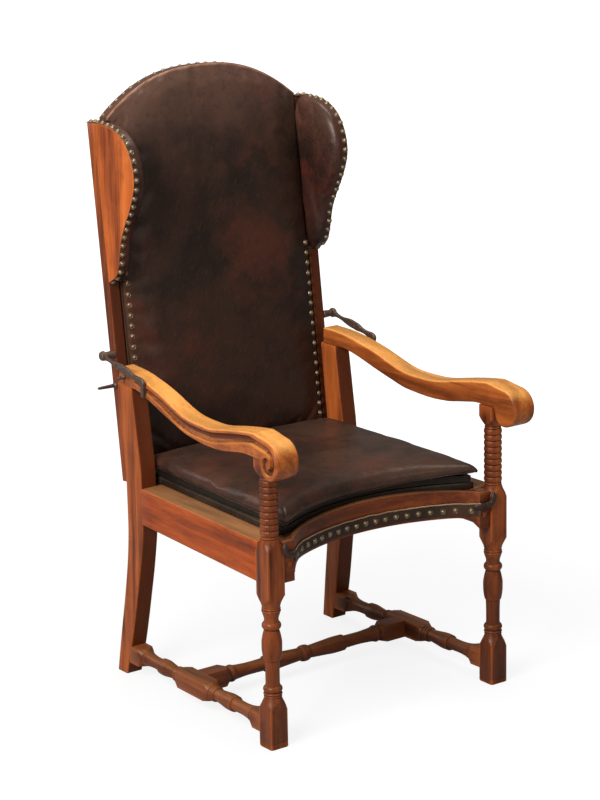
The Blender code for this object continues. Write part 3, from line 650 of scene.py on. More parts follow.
@dataclass(frozen=True)
class Canvas(Finish):
    """Undyed webbing: warp and weft threads with stains."""

    name: str
    thread: Colour
    stain: Colour
    across: Axis

    def mixed(self) -> bpy.types.Material:
        """Build the material.

        Returns:
            The material.
        """
        mix = Recipe(self.name)
        plain = mix.place()
        warp, weft = (mix.node("ShaderNodeTexWave", {"bands_direction": axis.name}, {
            "Vector": plain, "Scale": 240.0, "Distortion": 0.6, "Detail Scale": 4.0})
            for axis in (Axis.X, self.across))
        stain = mix.clouds(plain, 16.0, 4.0)
        weave = 0.5 * warp + 0.5 * weft
        colour = mix.mix(mix.between(stain, 0.4, 0.68), self.thread, self.stain)
        colour = mix.mix(0.5 * (1.0 - weave), colour, tuple(0.4 * c for c in self.stain))
        return mix.finish(Base_Color=colour, Roughness=0.85 + 0.1 * (stain - 0.5),
                          Normal=mix.bump(weave, 0.5, 0.0006))


OAK_POST = Wood("oak_post", (0.43, 0.106, 0.021), (0.29, 0.066, 0.0145), (0.092, 0.02, 0.0066),
                Axis.Z, 1.7, shade=0.92)
OAK_STILE = Wood("oak_stile", (0.33, 0.077, 0.016), (0.188, 0.04, 0.0098), (0.066, 0.015, 0.006),
                 Axis.Z, 3.6, shade=0.85)
OAK_RAIL = Wood("oak_rail", (0.43, 0.084, 0.012), (0.29, 0.048, 0.006), (0.112, 0.019, 0.004),
                Axis.Y, 4.2, faded=(0.34, 0.19, 0.08), fading=0.7)
OAK_FRONT = Wood("oak_front", (0.22, 0.05, 0.014), (0.128, 0.028, 0.009), (0.055, 0.013, 0.0056),
                 Axis.X, 9.3, faded=(0.17, 0.08, 0.032), fading=0.7)
OAK_WING = Wood("oak_wing", (0.56, 0.138, 0.023), (0.41, 0.088, 0.0155), (0.15, 0.029, 0.0078),
                Axis.Z, 6.1)
# strong edge lightening: wear and a painted highlight on the beads
TURNED = Wood("turned_oak", (0.3, 0.07, 0.0165), (0.176, 0.039, 0.0105), (0.052, 0.013, 0.0052),
              Axis.Z, 2.4, 0.34, 0.85, soil=0.5)
TURNED_SIDE = Wood("turned_oak_side", (0.27, 0.074, 0.021), (0.15, 0.038, 0.012), (0.05, 0.014, 0.0058),
                   Axis.Y, 5.5, 0.36, 0.7)
TURNED_CROSS = Wood("turned_oak_cross", (0.18, 0.045, 0.014), (0.09, 0.0225, 0.0085),
                    (0.036, 0.0105, 0.005), Axis.X, 7.9, 0.36, 0.7)
HONEY = Wood("honey_oak", (0.46, 0.13, 0.026), (0.32, 0.078, 0.0165), (0.135, 0.031, 0.0085), Axis.Y, 3.3,
             0.3, 0.35, (0.79, 0.34, 0.082), 0.92)
DARK_WOOD = Wood("dark_wood", (0.1, 0.05, 0.026), (0.06, 0.028, 0.015), (0.026, 0.012, 0.007), Axis.Z,
                 8.8, 0.62, 0.2)
# nearly black: painted shade under the cushion
SHADED_SLIP_WOOD = Wood("slip_wood", (0.034, 0.02, 0.013), (0.018, 0.011, 0.008), (0.01, 0.006, 0.005), Axis.X,
                 3.9, 0.55, 0.2, (0.09, 0.07, 0.045), 0.5)
BACK_HIDE = Hide("back_hide", (0.012, 0.0068, 0.005), (0.029, 0.0125, 0.008), (0.066, 0.018, 0.01),
                 (0.155, 0.076, 0.052), 0.0, crease=0.2, edge=0.3, bloom=(1.0, 1.24), lean=0.6)
WING_HIDE = Hide("wing_hide", (0.014, 0.007, 0.0058), (0.042, 0.014, 0.0098), (0.11, 0.022, 0.012),
                 (0.15, 0.066, 0.04), 2.2, 0.3, bloom=(0.98, 1.22))
SEAT_HIDE = Hide("seat_hide", (0.024, 0.0125, 0.0085), (0.05, 0.0245, 0.0155), (0.08, 0.026, 0.015),
                 (0.15, 0.084, 0.056), 4.6, 0.32, 0.3)
SEAM_HIDE = Hide("seam_hide", (0.015, 0.0095, 0.0075), (0.03, 0.017, 0.0125), (0.055, 0.021, 0.014),
                 (0.11, 0.064, 0.044), 5.2, 0.34, 0.6, 0.15)
# darkest leather: dark pad leather with painted shade under the cushion
SHADED_PAD_HIDE = Hide("pad_hide", (0.005, 0.004, 0.0034), (0.01, 0.007, 0.0058), (0.02, 0.01, 0.0075),
                (0.07, 0.05, 0.034), 6.4, 0.4)
STRIP_HIDE = Hide("strip_hide", (0.0175, 0.0096, 0.0064), (0.042, 0.0195, 0.0115), (0.078, 0.0275, 0.015),
                  (0.13, 0.07, 0.042), 8.1, 0.45)
WELT_HIDE = Hide("welt_hide", (0.11, 0.062, 0.03), (0.26, 0.165, 0.085), (0.17, 0.085, 0.042),
                 (0.4, 0.28, 0.15), 1.3, 0.5)
BRASS = Metal("old_brass", (0.33, 0.24, 0.138), (0.12, 0.08, 0.045), 0.16, 0.85, 0.48, 0.12)
IRON = Metal("old_iron", (0.165, 0.105, 0.078), (0.07, 0.038, 0.027), 0.18, 0.7, 0.48, 0.5)
SEAT_CANVAS = Canvas("seat_canvas", (0.36, 0.28, 0.18), (0.2, 0.14, 0.085), Axis.Y)
BACK_CANVAS = Canvas("back_canvas", (0.34, 0.265, 0.17), (0.19, 0.135, 0.08), Axis.Z)


class TurnedLine:
    """Side line of a turned piece, drawn from one end to the other."""

    def __init__(self, at: float, radius: float, start: float = 0.0, room: float = 1.0) -> None:
        """Begin at a place and radius; places are lengths, or shares of a room behind a start.

        Args:
            at: First place.
            radius: Radius there.
            start: Length at place 0.
            room: Length from place 0 to place 1.
        """
        self.start, self.room = start, room
        self.points: list[Pair] = []
        self.to(at, radius)

    def length(self, at: float) -> float:
        """Length at a place."""
        return self.start + at * self.room

    def to(self, at: float, radius: float) -> "TurnedLine":
        """Straight to a place and radius."""
        self.points.append((self.length(at), radius))
        return self

    def bead(self, end: float, swell: float, steps: int = 8, fullness: float = 0.75) -> "TurnedLine":
        """Bead from the last point.

        Args:
            end: Place where it ends.
            swell: How far it stands out.
            steps: Pieces of its line.
            fullness: Power of its bulge; less is fuller.

        Returns:
            The line.
        """
        start, radius = self.points[-1]
        for k in range(1, steps + 1):
            rise = math.sin(math.pi * k / steps) ** fullness if k < steps else 0.0
            self.points.append((lerp(start, self.length(end), k / steps), radius + swell * rise))
        return self

    def curve(self, *knots: Pair, pitch: float = 0.0025) -> "TurnedLine":
        """Smooth line from the last point.

        Args:
            knots: Places and radii that it runs through.
            pitch: Length of its pieces.

        Returns:
            The line.
        """
        table = [self.points[-1], *((self.length(at), radius) for at, radius in knots)]
        steps = max(2, round((table[-1][0] - table[0][0]) / pitch))
        self.points += [(at, eased(table, at)) for at in evenly(table[0][0], table[-1][0], steps)[1:]]
        return self

    def back(self, other: "TurnedLine", end: float) -> "TurnedLine":
        """The other line run backwards so that it ends at a place."""
        self.points += [(end - at, radius) for at, radius in reversed(other.points)]
        return self


class Workpiece:
    """Mesh under way that ends as one finished piece of the chair."""

    def __init__(self, name: str, body: Body = Body.FRAME) -> None:
        """Start a piece; its points are then given in lengths on its body.

        Args:
            name: Name of the piece, or of the node that it stands for.
            body: Body that it rides on.
        """
        self.name = name + DRESSED if name in frame["nodes"] else name
        self.body = body
        self.mesh = bmesh.new()

    def turn(self, line: TurnedLine, steps: int = 64) -> "Workpiece":
        """Turn a side line round Z.

        Args:
            line: Places along Z and radii.
            steps: Sides of the turning.

        Returns:
            The workpiece, still to be laid in its place.
        """
        points = [(line.points[0][0], 0.0), *line.points, (line.points[-1][0], 0.0)]
        verts = [self.mesh.verts.new((radius, 0.0, at)) for at, radius in points]
        edges = [self.mesh.edges.new(pair) for pair in zip(verts, verts[1:])]
        bmesh.ops.spin(self.mesh, geom=verts + edges, cent=(0.0, 0.0, 0.0), axis=(0.0, 0.0, 1.0),
                       angle=2.0 * math.pi, steps=steps, use_merge=True)
        bmesh.ops.remove_doubles(self.mesh, verts=self.mesh.verts, dist=1e-6)
        return self

    def square_off(self, half: Callable[[float], float]) -> "Workpiece":
        """Plane the turning down to a square where it stands out of one.

        Args:
            half: Half side of the square at a place along Z.

        Returns:
            The workpiece.
        """
        for vert in self.mesh.verts:
            reach, limit = max(abs(vert.co.x), abs(vert.co.y)), half(vert.co.z)
            if reach > limit:
                vert.co.x *= limit / reach
                vert.co.y *= limit / reach
        return self

    def sweep(self, rings: Iterable[Iterable], loop: bool = False, edge: float = 0.0) -> "Workpiece":
        """Skin over rings of equally many points.

        Args:
            rings: Sections one after another.
            loop: True if the last section joins the first.
            edge: Rounding of the two end faces.

        Returns:
            The workpiece.
        """
        place = self.body.place
        rings = [[place @ Vector(point) for point in ring] for ring in rings]
        if loop:
            rings.append(rings[0])
        ring = [self.mesh.verts.new(point) for point in rings[0]]
        edges = [self.mesh.edges.new(pair) for pair in zip(ring, ring[1:] + ring[:1])]
        ends = [list(edges)]
        for points in rings[1:]:
            made = bmesh.ops.extrude_edge_only(self.mesh, edges=edges)["geom"]
            fresh = {item for item in made if isinstance(item, bmesh.types.BMVert)}
            edges = [item for item in made
                     if isinstance(item, bmesh.types.BMEdge) and fresh.issuperset(item.verts)]
            ring = [next(e.other_vert(v) for e in v.link_edges if e.other_vert(v) in fresh) for v in ring]
            for vert, point in zip(ring, points):
                vert.co = point
        ends.append(list(edges))
        if loop:
            bmesh.ops.remove_doubles(self.mesh, verts=self.mesh.verts, dist=1e-6)
            return self
        for rim in ends:
            bmesh.ops.edgeloop_fill(self.mesh, edges=rim)
        if edge:
            self.round(ends[0] + ends[1], edge, 2)
        return self

    def round(self, edges: Iterable[bmesh.types.BMEdge], width: float, segments: int) -> "Workpiece":
        """Round edges over."""
        bmesh.ops.bevel(self.mesh, geom=list(edges), offset=width, offset_type="OFFSET", segments=segments,
                        profile=0.5, affect="EDGES", clamp_overlap=True, material=-1)
        return self

    def pad(self, columns: int, rows: int, upper: Sheet, lower: Sheet) -> "Workpiece":
        """Closed pad between two sheets; rims that coincide become one seam.

        Args:
            columns: Pieces across.
            rows: Pieces along.
            upper: Upper sheet.
            lower: Lower sheet.

        Returns:
            The workpiece.
        """
        place = self.body.place
        bmesh.ops.create_grid(self.mesh, x_segments=columns, y_segments=rows, size=1.0)
        first = list(self.mesh.verts)
        plan = [(vert.co.x, vert.co.y) for vert in first]
        under = list(self.mesh.faces)
        twin = bmesh.ops.duplicate(self.mesh, geom=first + list(self.mesh.edges) + under)["vert_map"]
        for vert, (u, v) in zip(first, plan):
            twin[vert].co = place @ Vector(upper(u, v))
            vert.co = place @ Vector(lower(u, v))
        bmesh.ops.reverse_faces(self.mesh, faces=under)
        bmesh.ops.remove_doubles(self.mesh, verts=self.mesh.verts, dist=1e-5)
        rim = [e for e in self.mesh.edges if e.is_boundary]
        if rim:
            bmesh.ops.bridge_loops(self.mesh, edges=rim)
        return self

    def lay(self, matrix: Matrix) -> "Workpiece":
        """Move everything made so far."""
        bmesh.ops.transform(self.mesh, matrix=matrix, verts=self.mesh.verts)
        return self

    def join(self, other: "Workpiece") -> None:
        """Take over another workpiece's mesh.

        Args:
            other: The workpiece, which is used up.
        """
        mesh = bpy.data.meshes.new(other.name)
        other.mesh.to_mesh(mesh)
        other.mesh.free()
        self.mesh.from_mesh(mesh)
        bpy.data.meshes.remove(mesh)

    def raw(self) -> Item:
        """Plain object.

        Returns:
            The object, its faces pointing outwards.
        """
        bmesh.ops.recalc_face_normals(self.mesh, faces=self.mesh.faces)
        if self.mesh.calc_volume(signed=True) < 0.0:
            bmesh.ops.reverse_faces(self.mesh, faces=self.mesh.faces)
        mesh = bpy.data.meshes.new(self.name)
        self.mesh.to_mesh(mesh)
        self.mesh.free()
        item = bpy.data.objects.new(self.name, mesh)
        bpy.context.scene.collection.objects.link(item)
        return item

    def done(self, finish: Finish, slot: str) -> Item:
        """Finished piece on its body."""
        return hand_in(self.raw(), finish, self.body)


def hand_in(item: Item, finish: Finish, body: Body) -> Item:
    """Give an object its finish and its body, and hide the node that it stands for, which its name tells.

    Args:
        item: Object at the origin with its place in its mesh.
        finish: What it is finished with.
        body: Body that it rides on.

    Returns:
        The same object.
    """
    item.data.materials.clear()
    item.data.materials.append(finish.material())
    item.data.shade_smooth()
    item.data.set_sharp_from_angle(angle=SHARP)
    if isinstance(finish, Wood):
        # marks that the wood reads for paler tops, partly painted light, and for painted shade on forward
        # faces
        Mark.UP.put(item, [vert.normal.z for vert in item.data.vertices])
        Mark.FRONT.put(item, [-vert.normal.y for vert in item.data.vertices])
    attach(item, body.value)
    if item.name.endswith(DRESSED):
        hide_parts(item.name.removesuffix(DRESSED))
    LOG.info("%s: %d faces on %s", item.name, len(item.data.polygons), body.value)
    return item


def settled(item: Item) -> Item:
    """Apply an object's modifiers to its mesh.

    Args:
        item: The object.

    Returns:
        The same object without modifiers.
    """
    graph = bpy.context.evaluated_depsgraph_get()
    mesh = bpy.data.meshes.new_from_object(item.evaluated_get(graph))
    item.modifiers.clear()
    item.data = mesh
    mesh.name = item.name
    return item


def reskinned(item: Item, voxel: float) -> Item:
    """Add a skin of even facets.

    Args:
        item: The object.
        voxel: Size of the facets.

    Returns:
        The same object.
    """
    skin = item.modifiers.new("skin", "REMESH")
    skin.mode = "VOXEL"
    skin.voxel_size = voxel
    return item


def carved(item: Item, cutter: Item, voxel: float, rub: int) -> Item:
    """Cut a hollow out of a blank and rub the arrises soft.

    Args:
        item: The blank.
        cutter: Object to cut away; it is removed.
        voxel: Size of the facets of the carved surface.
        rub: Passes of smoothing.

    Returns:
        The carved object.
    """
    cut = item.modifiers.new("cut", "BOOLEAN")
    cut.operation = "DIFFERENCE"
    cut.object = cutter
    soft = reskinned(item, voxel).modifiers.new("rub", "SMOOTH")
    soft.iterations = rub
    settled(item)
    bpy.data.objects.remove(cutter)
    return item


def smoothed(item: Item) -> Item:
    """Add a live subdivision.

    Args:
        item: The object.

    Returns:
        The same object.
    """
    finer = item.modifiers.new("finer", "SUBSURF")
    finer.levels = finer.render_levels = 1
    return item


def swollen(item: Item, held: Callable[[Vector], float], pressure: float, slack: float, cap: float,
            frames: int = 20) -> None:
    """Let stuffing press a leather skin out between its seams.

    Args:
        item: Closed skin.
        held: How firmly a point is held, from 0 to 1.
        pressure: Pressure of the stuffing.
        slack: Spare leather, as a share of its length.
        cap: Furthest that a point may move.
        frames: Steps of the simulation.
    """
    scene = bpy.context.scene
    rest = [vert.co.copy() for vert in item.data.vertices]
    group = item.vertex_groups.new(name="held")
    for index, point in enumerate(rest):
        group.add([index], held(point), "REPLACE")
    cloth = item.modifiers.new("stuffing", "CLOTH")
    sizes = {"shrink_min": -slack, "uniform_pressure_force": pressure, "vertex_group_mass": group.name}
    for key, value in {**LEATHER, **sizes}.items():
        setattr(cloth.settings, key, value)
    cloth.settings.effector_weights.gravity = 0.0
    cloth.collision_settings.use_collision = False
    for step in range(1, frames + 1):
        scene.frame_set(step)
    graph = bpy.context.evaluated_depsgraph_get()
    moved = [vert.co.copy() for vert in item.evaluated_get(graph).data.vertices]
    item.modifiers.remove(cloth)
    scene.frame_set(1)
    item.vertex_groups.remove(group)
    for vert, start, end in zip(item.data.vertices, rest, moved):
        step = end - start
        vert.co = start + step * min(1.0, cap / max(step.length, 1e-9))
    item.data.update()


def rumpled(item: Item, share: Callable[[Vector], float], depth: float, pitch: float,
            stretch: Spot = (1.0, 1.0, 1.0)) -> None:
    """Push a skin in and out in soft folds.

    Args:
        item: The skin.
        share: How much of the depth a point takes.
        depth: Height of the folds.
        pitch: Width of the folds.
        stretch: Drawing out of the folds along X, Y and Z.
    """
    normals = [vert.normal.copy() for vert in item.data.vertices]
    for vert, normal in zip(item.data.vertices, normals):
        spot = Vector(c / (pitch * s) for c, s in zip(vert.co, stretch))
        vert.co += normal * depth * share(vert.co) * noise.fractal(spot, 0.9, 2.0, 3)
    item.data.update()


@dataclass(frozen=True)
class NailRow:
    """Row of domed brass nails."""

    name: str
    body: Body
    radius: float = 0.0064
    height: float = 0.0046
    sides: int = 11
    sunk: float = 0.0004
    tilt: float = 0.07          # largest lean, as a share
    stray: float = 0.0006       # largest miss of its place
    dome: Table = ((0.3, 0.93), (0.12, 0.72), (0.68, 0.56), (1.0, 0.2))     # shares of height and radius

    def drive(self, leather: Item, blows: Iterable[tuple[Spot, Spot]]) -> None:
        """Drive the nails.

        Args:
            leather: Piece that they are driven into.
            blows: Start and direction of each blow, in lengths on the row's body.
        """
        chance = random.Random(self.name)
        line = TurnedLine(0.0, self.radius)
        for rise, share in self.dome:
            line.to(rise * self.height, share * self.radius)
        row = Workpiece(self.name, self.body)
        lay = self.body.place
        skin = BVHTree.FromObject(leather, bpy.context.evaluated_depsgraph_get())
        for spot, blow in blows:
            start, way = lay @ Vector(spot), lay.to_3x3() @ Vector(blow)
            place, normal, _, _ = skin.ray_cast(start, way)
            if place is None:
                place, normal, _, _ = skin.find_nearest(start)
            normal = normal if normal.dot(way) < 0.0 else -normal
            lean = Vector(chance.uniform(-self.tilt, self.tilt) for _ in range(3))
            shift = Vector(chance.uniform(-self.stray, self.stray) for _ in range(3))
            turn = (normal + lean).to_track_quat("Z", "Y").to_matrix().to_4x4()
            seat = Matrix.Translation(place + shift - self.sunk * normal)
            row.join(Workpiece("nail").turn(line, self.sides).lay(seat @ turn))
        row.done(BRASS, "iron")


@dataclass(frozen=True)
class Webbing:
    """Interlaced straps across an open frame."""

    name: str
    body: Body
    finish: Canvas
    courses: tuple[tuple[bool, int], tuple[bool, int]]      # True for straps along v, and their number
    width: float                # share of their pitch
    thick: float
    weave: float                # rise and fall where they cross
    pieces: int

    def build(self, place: Callable[[float, float, float], Spot]) -> None:
        """Lay the straps.

        Args:
            place: Point at u, v from -1 to 1 and a height over the middle of the straps.
        """
        straps = Workpiece(self.name, self.body)
        for (along, count), (_, crossings) in (self.courses, self.courses[::-1]):
            for k in range(count):
                middle, rise = (2 * k + 1) / count - 1.0, self.weave * (-1) ** k * (1 if along else -1)
                rings = []
                for run in evenly(-1.0, 1.0, self.pieces):
                    lift = rise * math.cos(0.5 * math.pi * crossings * (run + 1))
                    ring = []
                    for off, up in ((-1, -1), (1, -1), (1, 1), (-1, 1)):
                        wide = middle + off * self.width / count
                        u, v = (wide, run) if along else (run, wide)
                        ring.append(place(u, v, lift + 0.5 * up * self.thick))
                    rings.append(ring)
                straps.join(Workpiece("strap", self.body).sweep(rings))
        straps.done(self.finish, "canvas")


@dataclass
class Underframe:
    """Front legs with their arm posts, rear legs, and the stretchers between them."""

    front_x: float = 0.281
    half: float = 0.019
    corner: float = 0.0262                  # radius to which the corners of the blocks are worn
    leg: Pair = (0.0204, 0.0281)            # the same two for the front legs
    saw: Table = ((0.0105, 0.0), (0.0115, 0.0007), (0.0125, 0.0))   # saw line above the floor, and its depth
    arm_z: float = 0.596
    column: Pair = (0.433, 0.547)
    rings: int = 9
    ring: Pair = (0.0159, 0.0186)           # radius in the grooves and on the rings
    rear_x: Table = ((0.0, 0.271), (0.335, 0.261), (0.7, 0.261))
    rear_top: float = 0.632
    rear_front: Table = (
        (0.0, 0.516), (0.087, 0.494), (0.18, 0.476), (0.276, 0.459), (0.335, 0.452), (0.44, 0.452),
        (0.53, 0.463), (0.632, 0.478))
    rear_back: Table = (
        (0.0, 0.551), (0.087, 0.538), (0.18, 0.523), (0.276, 0.511), (0.335, 0.508), (0.44, 0.509),
        (0.53, 0.518), (0.632, 0.529))
    rear_arris: float = 0.0028
    stretcher_z: float = 0.046
    end_block: float = 0.03
    cross_y: float = 0.281
    cross_block: Pair = (0.054, 0.041)      # middle block before and behind the cross stretcher's axis
    tenon: float = 0.003                    # how far a stretcher runs into its leg

    def leg_line(self) -> TurnedLine:
        """Draw a front leg.

        Returns:
            Its side line from the floor to the arm.
        """
        block = self.leg[1]
        line = TurnedLine(0.0, block - 0.0016).to(0.0018, block)
        line.points += [(z, block) for z, _ in self.saw]
        line.to(0.079, block).curve((0.088, 0.0242), (0.097, 0.0198), (0.103, 0.0175)).to(0.1046, 0.0168)
        line.bead(0.108, 0.0014, 6).to(0.1088, 0.0166).bead(0.1136, 0.0023, 8).to(0.1146, 0.016)
        line.bead(0.1268, 0.0033, 10).to(0.128, 0.0147)
        line.curve((0.134, 0.0141), (0.158, 0.0142), (0.1805, 0.0149)).to(0.1813, 0.017)
        line.curve((0.19, 0.0188), (0.204, 0.0202), (0.216, 0.0203), (0.23, 0.0184), (0.241, 0.0156))
        line.to(0.244, 0.0148).bead(0.259, 0.0045, 10, 0.6).to(0.26, 0.0145)
        line.curve((0.265, 0.0143), (0.273, 0.0163), (0.279, 0.0182)).to(0.2796, 0.0175)
        line.bead(0.2838, 0.0018, 6).to(0.2846, 0.0176).bead(0.2885, 0.0012, 6).to(0.29, 0.0178)
        line.curve((0.297, 0.0196), (0.306, 0.0238), (0.314, block)).to(0.403, block)
        line.curve((0.411, 0.0246), (0.419, 0.0206), (0.4275, 0.018)).to(0.4285, 0.0166)
        line.bead(self.column[0] - 0.0003, 0.0012, 5).to(self.column[0], self.ring[0])
        for end in evenly(*self.column, self.rings)[1:]:
            line.bead(end, self.ring[1] - self.ring[0], 10, 0.55)
        line.bead(0.5512, 0.0012, 6).to(0.552, 0.0158)
        return line.curve((0.557, 0.019), (0.563, 0.0232), (0.571, block)).to(self.arm_z - TOUCH, block)

    def foot_half(self, z: float) -> float:
        """Half side of the leg's blocks, with the saw line above the floor."""
        middle, depth = self.saw[1]
        return self.leg[0] - depth * math.exp(-((z - middle) / 0.0007) ** 2)

    def front_leg(self, side: Side) -> None:
        """One front leg."""
        piece = Workpiece(side.named("front_leg")).turn(self.leg_line(), 72).square_off(self.foot_half)
        piece.lay(CHAIR @ Matrix.Translation((side.value * self.front_x, 0.0, 0.0))).done(TURNED, "dark_oak")

    def rear_leg(self, side: Side) -> None:
        """Rear leg, sawn to a curve.

        Args:
            side: Side of the chair.
        """
        rings = []
        for z in evenly(0.0, self.rear_top - TOUCH, 40):
            x, near, far = (eased(table, z) for table in (self.rear_x, self.rear_front, self.rear_back))
            section = side.section((x - self.half, x + self.half), (near, far), self.rear_arris)
            rings.append(Axis.Z.at(z, section))
        Workpiece(side.named("rear_leg")).sweep(rings, edge=0.0015).done(OAK_POST, "oak")

    def stretcher_x(self, y: float) -> float:
        """Distance of a side stretcher from the middle plane."""
        return lerp(self.front_x, eased(self.rear_x, self.stretcher_z),
                    y / eased(self.rear_front, self.stretcher_z))

    def vase(self, start: float, room: float) -> TurnedLine:
        """Draw the turning between the middle block and an end block of a side stretcher.

        Args:
            start: Length where the middle block ends.
            room: Length of the turning.

        Returns:
            Its side line.
        """
        line = TurnedLine(0.0, self.corner, start, room)
        line.curve((0.05, 0.0205), (0.085, 0.0166)).to(0.09, 0.015)
        line.bead(0.125, 0.0022, 6).to(0.13, 0.0146).bead(0.165, 0.0019, 6).to(0.175, 0.0126)
        line.curve((0.3, 0.0148), (0.45, 0.0173), (0.53, 0.0168)).to(0.536, 0.0142)
        line.curve((0.57, 0.0132), (0.7, 0.0128), (0.82, 0.0141), (0.9, 0.0166)).to(0.905, 0.0157)
        return line.to(0.915, 0.016).curve((0.96, 0.0205), (1.0, self.corner))

    def side_stretcher(self, side: Side) -> None:
        """Stretcher from foot to foot with a square middle block.

        Args:
            side: Side of the chair.
        """
        start = self.half - self.tenon
        end = eased(self.rear_front, self.stretcher_z) + self.tenon
        near, far = self.cross_y - start - self.cross_block[0], self.cross_y - start + self.cross_block[1]
        stub = self.end_block + self.tenon
        line = TurnedLine(0.0, self.corner).to(stub, self.corner).back(self.vase(0.0, near - stub), near)
        line.to(far, self.corner)
        line.points += self.vase(far, end - start - stub - far).points[1:]
        line.to(end - start, self.corner)
        piece = Workpiece(side.named("side_stretcher")).turn(line, 48).square_off(lambda z: self.half - TOUCH)
        ends = [Vector((side.value * self.stretcher_x(y), y, self.stretcher_z)) for y in (start, end)]
        piece.lay(CHAIR @ self.along(*ends)).done(TURNED_SIDE, "dark_oak")

    def cross_stretcher(self) -> None:
        """Turned rail between the middle blocks of the side stretchers."""
        reach = self.stretcher_x(self.cross_y) - self.half + 0.5 * self.tenon
        half = TurnedLine(0.0, 0.0176, 0.0, reach).to(0.012, 0.0176).to(0.03, 0.0166).to(0.036, 0.014)
        half.to(0.046, 0.0134).curve((0.19, 0.0158), (0.31, 0.0176), (0.395, 0.0172)).to(0.4, 0.0146)
        half.curve((0.42, 0.0136), (0.55, 0.0132), (0.66, 0.0146), (0.705, 0.0158)).to(0.71, 0.0166)
        half.bead(0.752, 0.0016, 6).to(0.758, 0.016).curve((0.785, 0.02), (0.81, self.corner))
        half.to(1.0, self.corner)
        line = TurnedLine(-reach, self.corner)
        line.points = [(-z, r) for z, r in reversed(half.points[1:])] + half.points
        piece = Workpiece("cross_stretcher").turn(line, 48).square_off(lambda z: self.half - 2 * TOUCH)
        middle = Vector((0.0, self.cross_y, self.stretcher_z))
        piece.lay(CHAIR @ self.along(middle, middle + Vector((1.0, 0.0, 0.0)))).done(TURNED_CROSS, "dark_oak")

    @staticmethod
    def along(a: Vector, b: Vector) -> Matrix:
        """Way to lay a turning from one point to another.

        Args:
            a: Point where it starts.
            b: Point towards which it runs.

        Returns:
            Matrix that lays Z from a to b, with Y upright.
        """
        z = (b - a).normalized()
        x = Vector((0.0, 0.0, 1.0)).cross(z).normalized()
        return Matrix.Translation(a) @ Matrix((x, z.cross(x), z)).transposed().to_4x4()

    def build(self) -> None:
        """Make every piece."""
        for side in Side:
            self.front_leg(side)
            self.rear_leg(side)
            self.side_stretcher(side)
        self.cross_stretcher()


@dataclass(frozen=True)
class Plan:
    """Plan of one layer of the seat: hollowed at the front, tapered to the rear, its corners drawn in."""

    half: Pair                              # half width at the front and the rear
    set_back: float                         # distance behind the hollow of the front rail
    rear: float
    middle: float = 0.065                   # hollow at the middle of the seat
    radius: float = 0.425                   # radius of the hollow
    draw: float = 0.013                     # share by which the corners are drawn in

    def hollow(self, x: float) -> float:
        """Hollow of the front rail at a distance from the middle."""
        return self.middle - self.radius + math.sqrt(self.radius ** 2 - x * x)

    def spot(self, u: float, v: float) -> Pair:
        """Find a point of the plan.

        Args:
            u: Place across, from -1 to 1.
            v: Place from the front, -1, to the rear, 1.

        Returns:
            Its x and y.
        """
        draw = 1.0 - self.draw * (u * v) ** 10
        share = 0.5 * (draw * v + 1.0)
        x = draw * u * lerp(*self.half, share)
        return x, lerp(self.hollow(x) + self.set_back, self.rear, share)


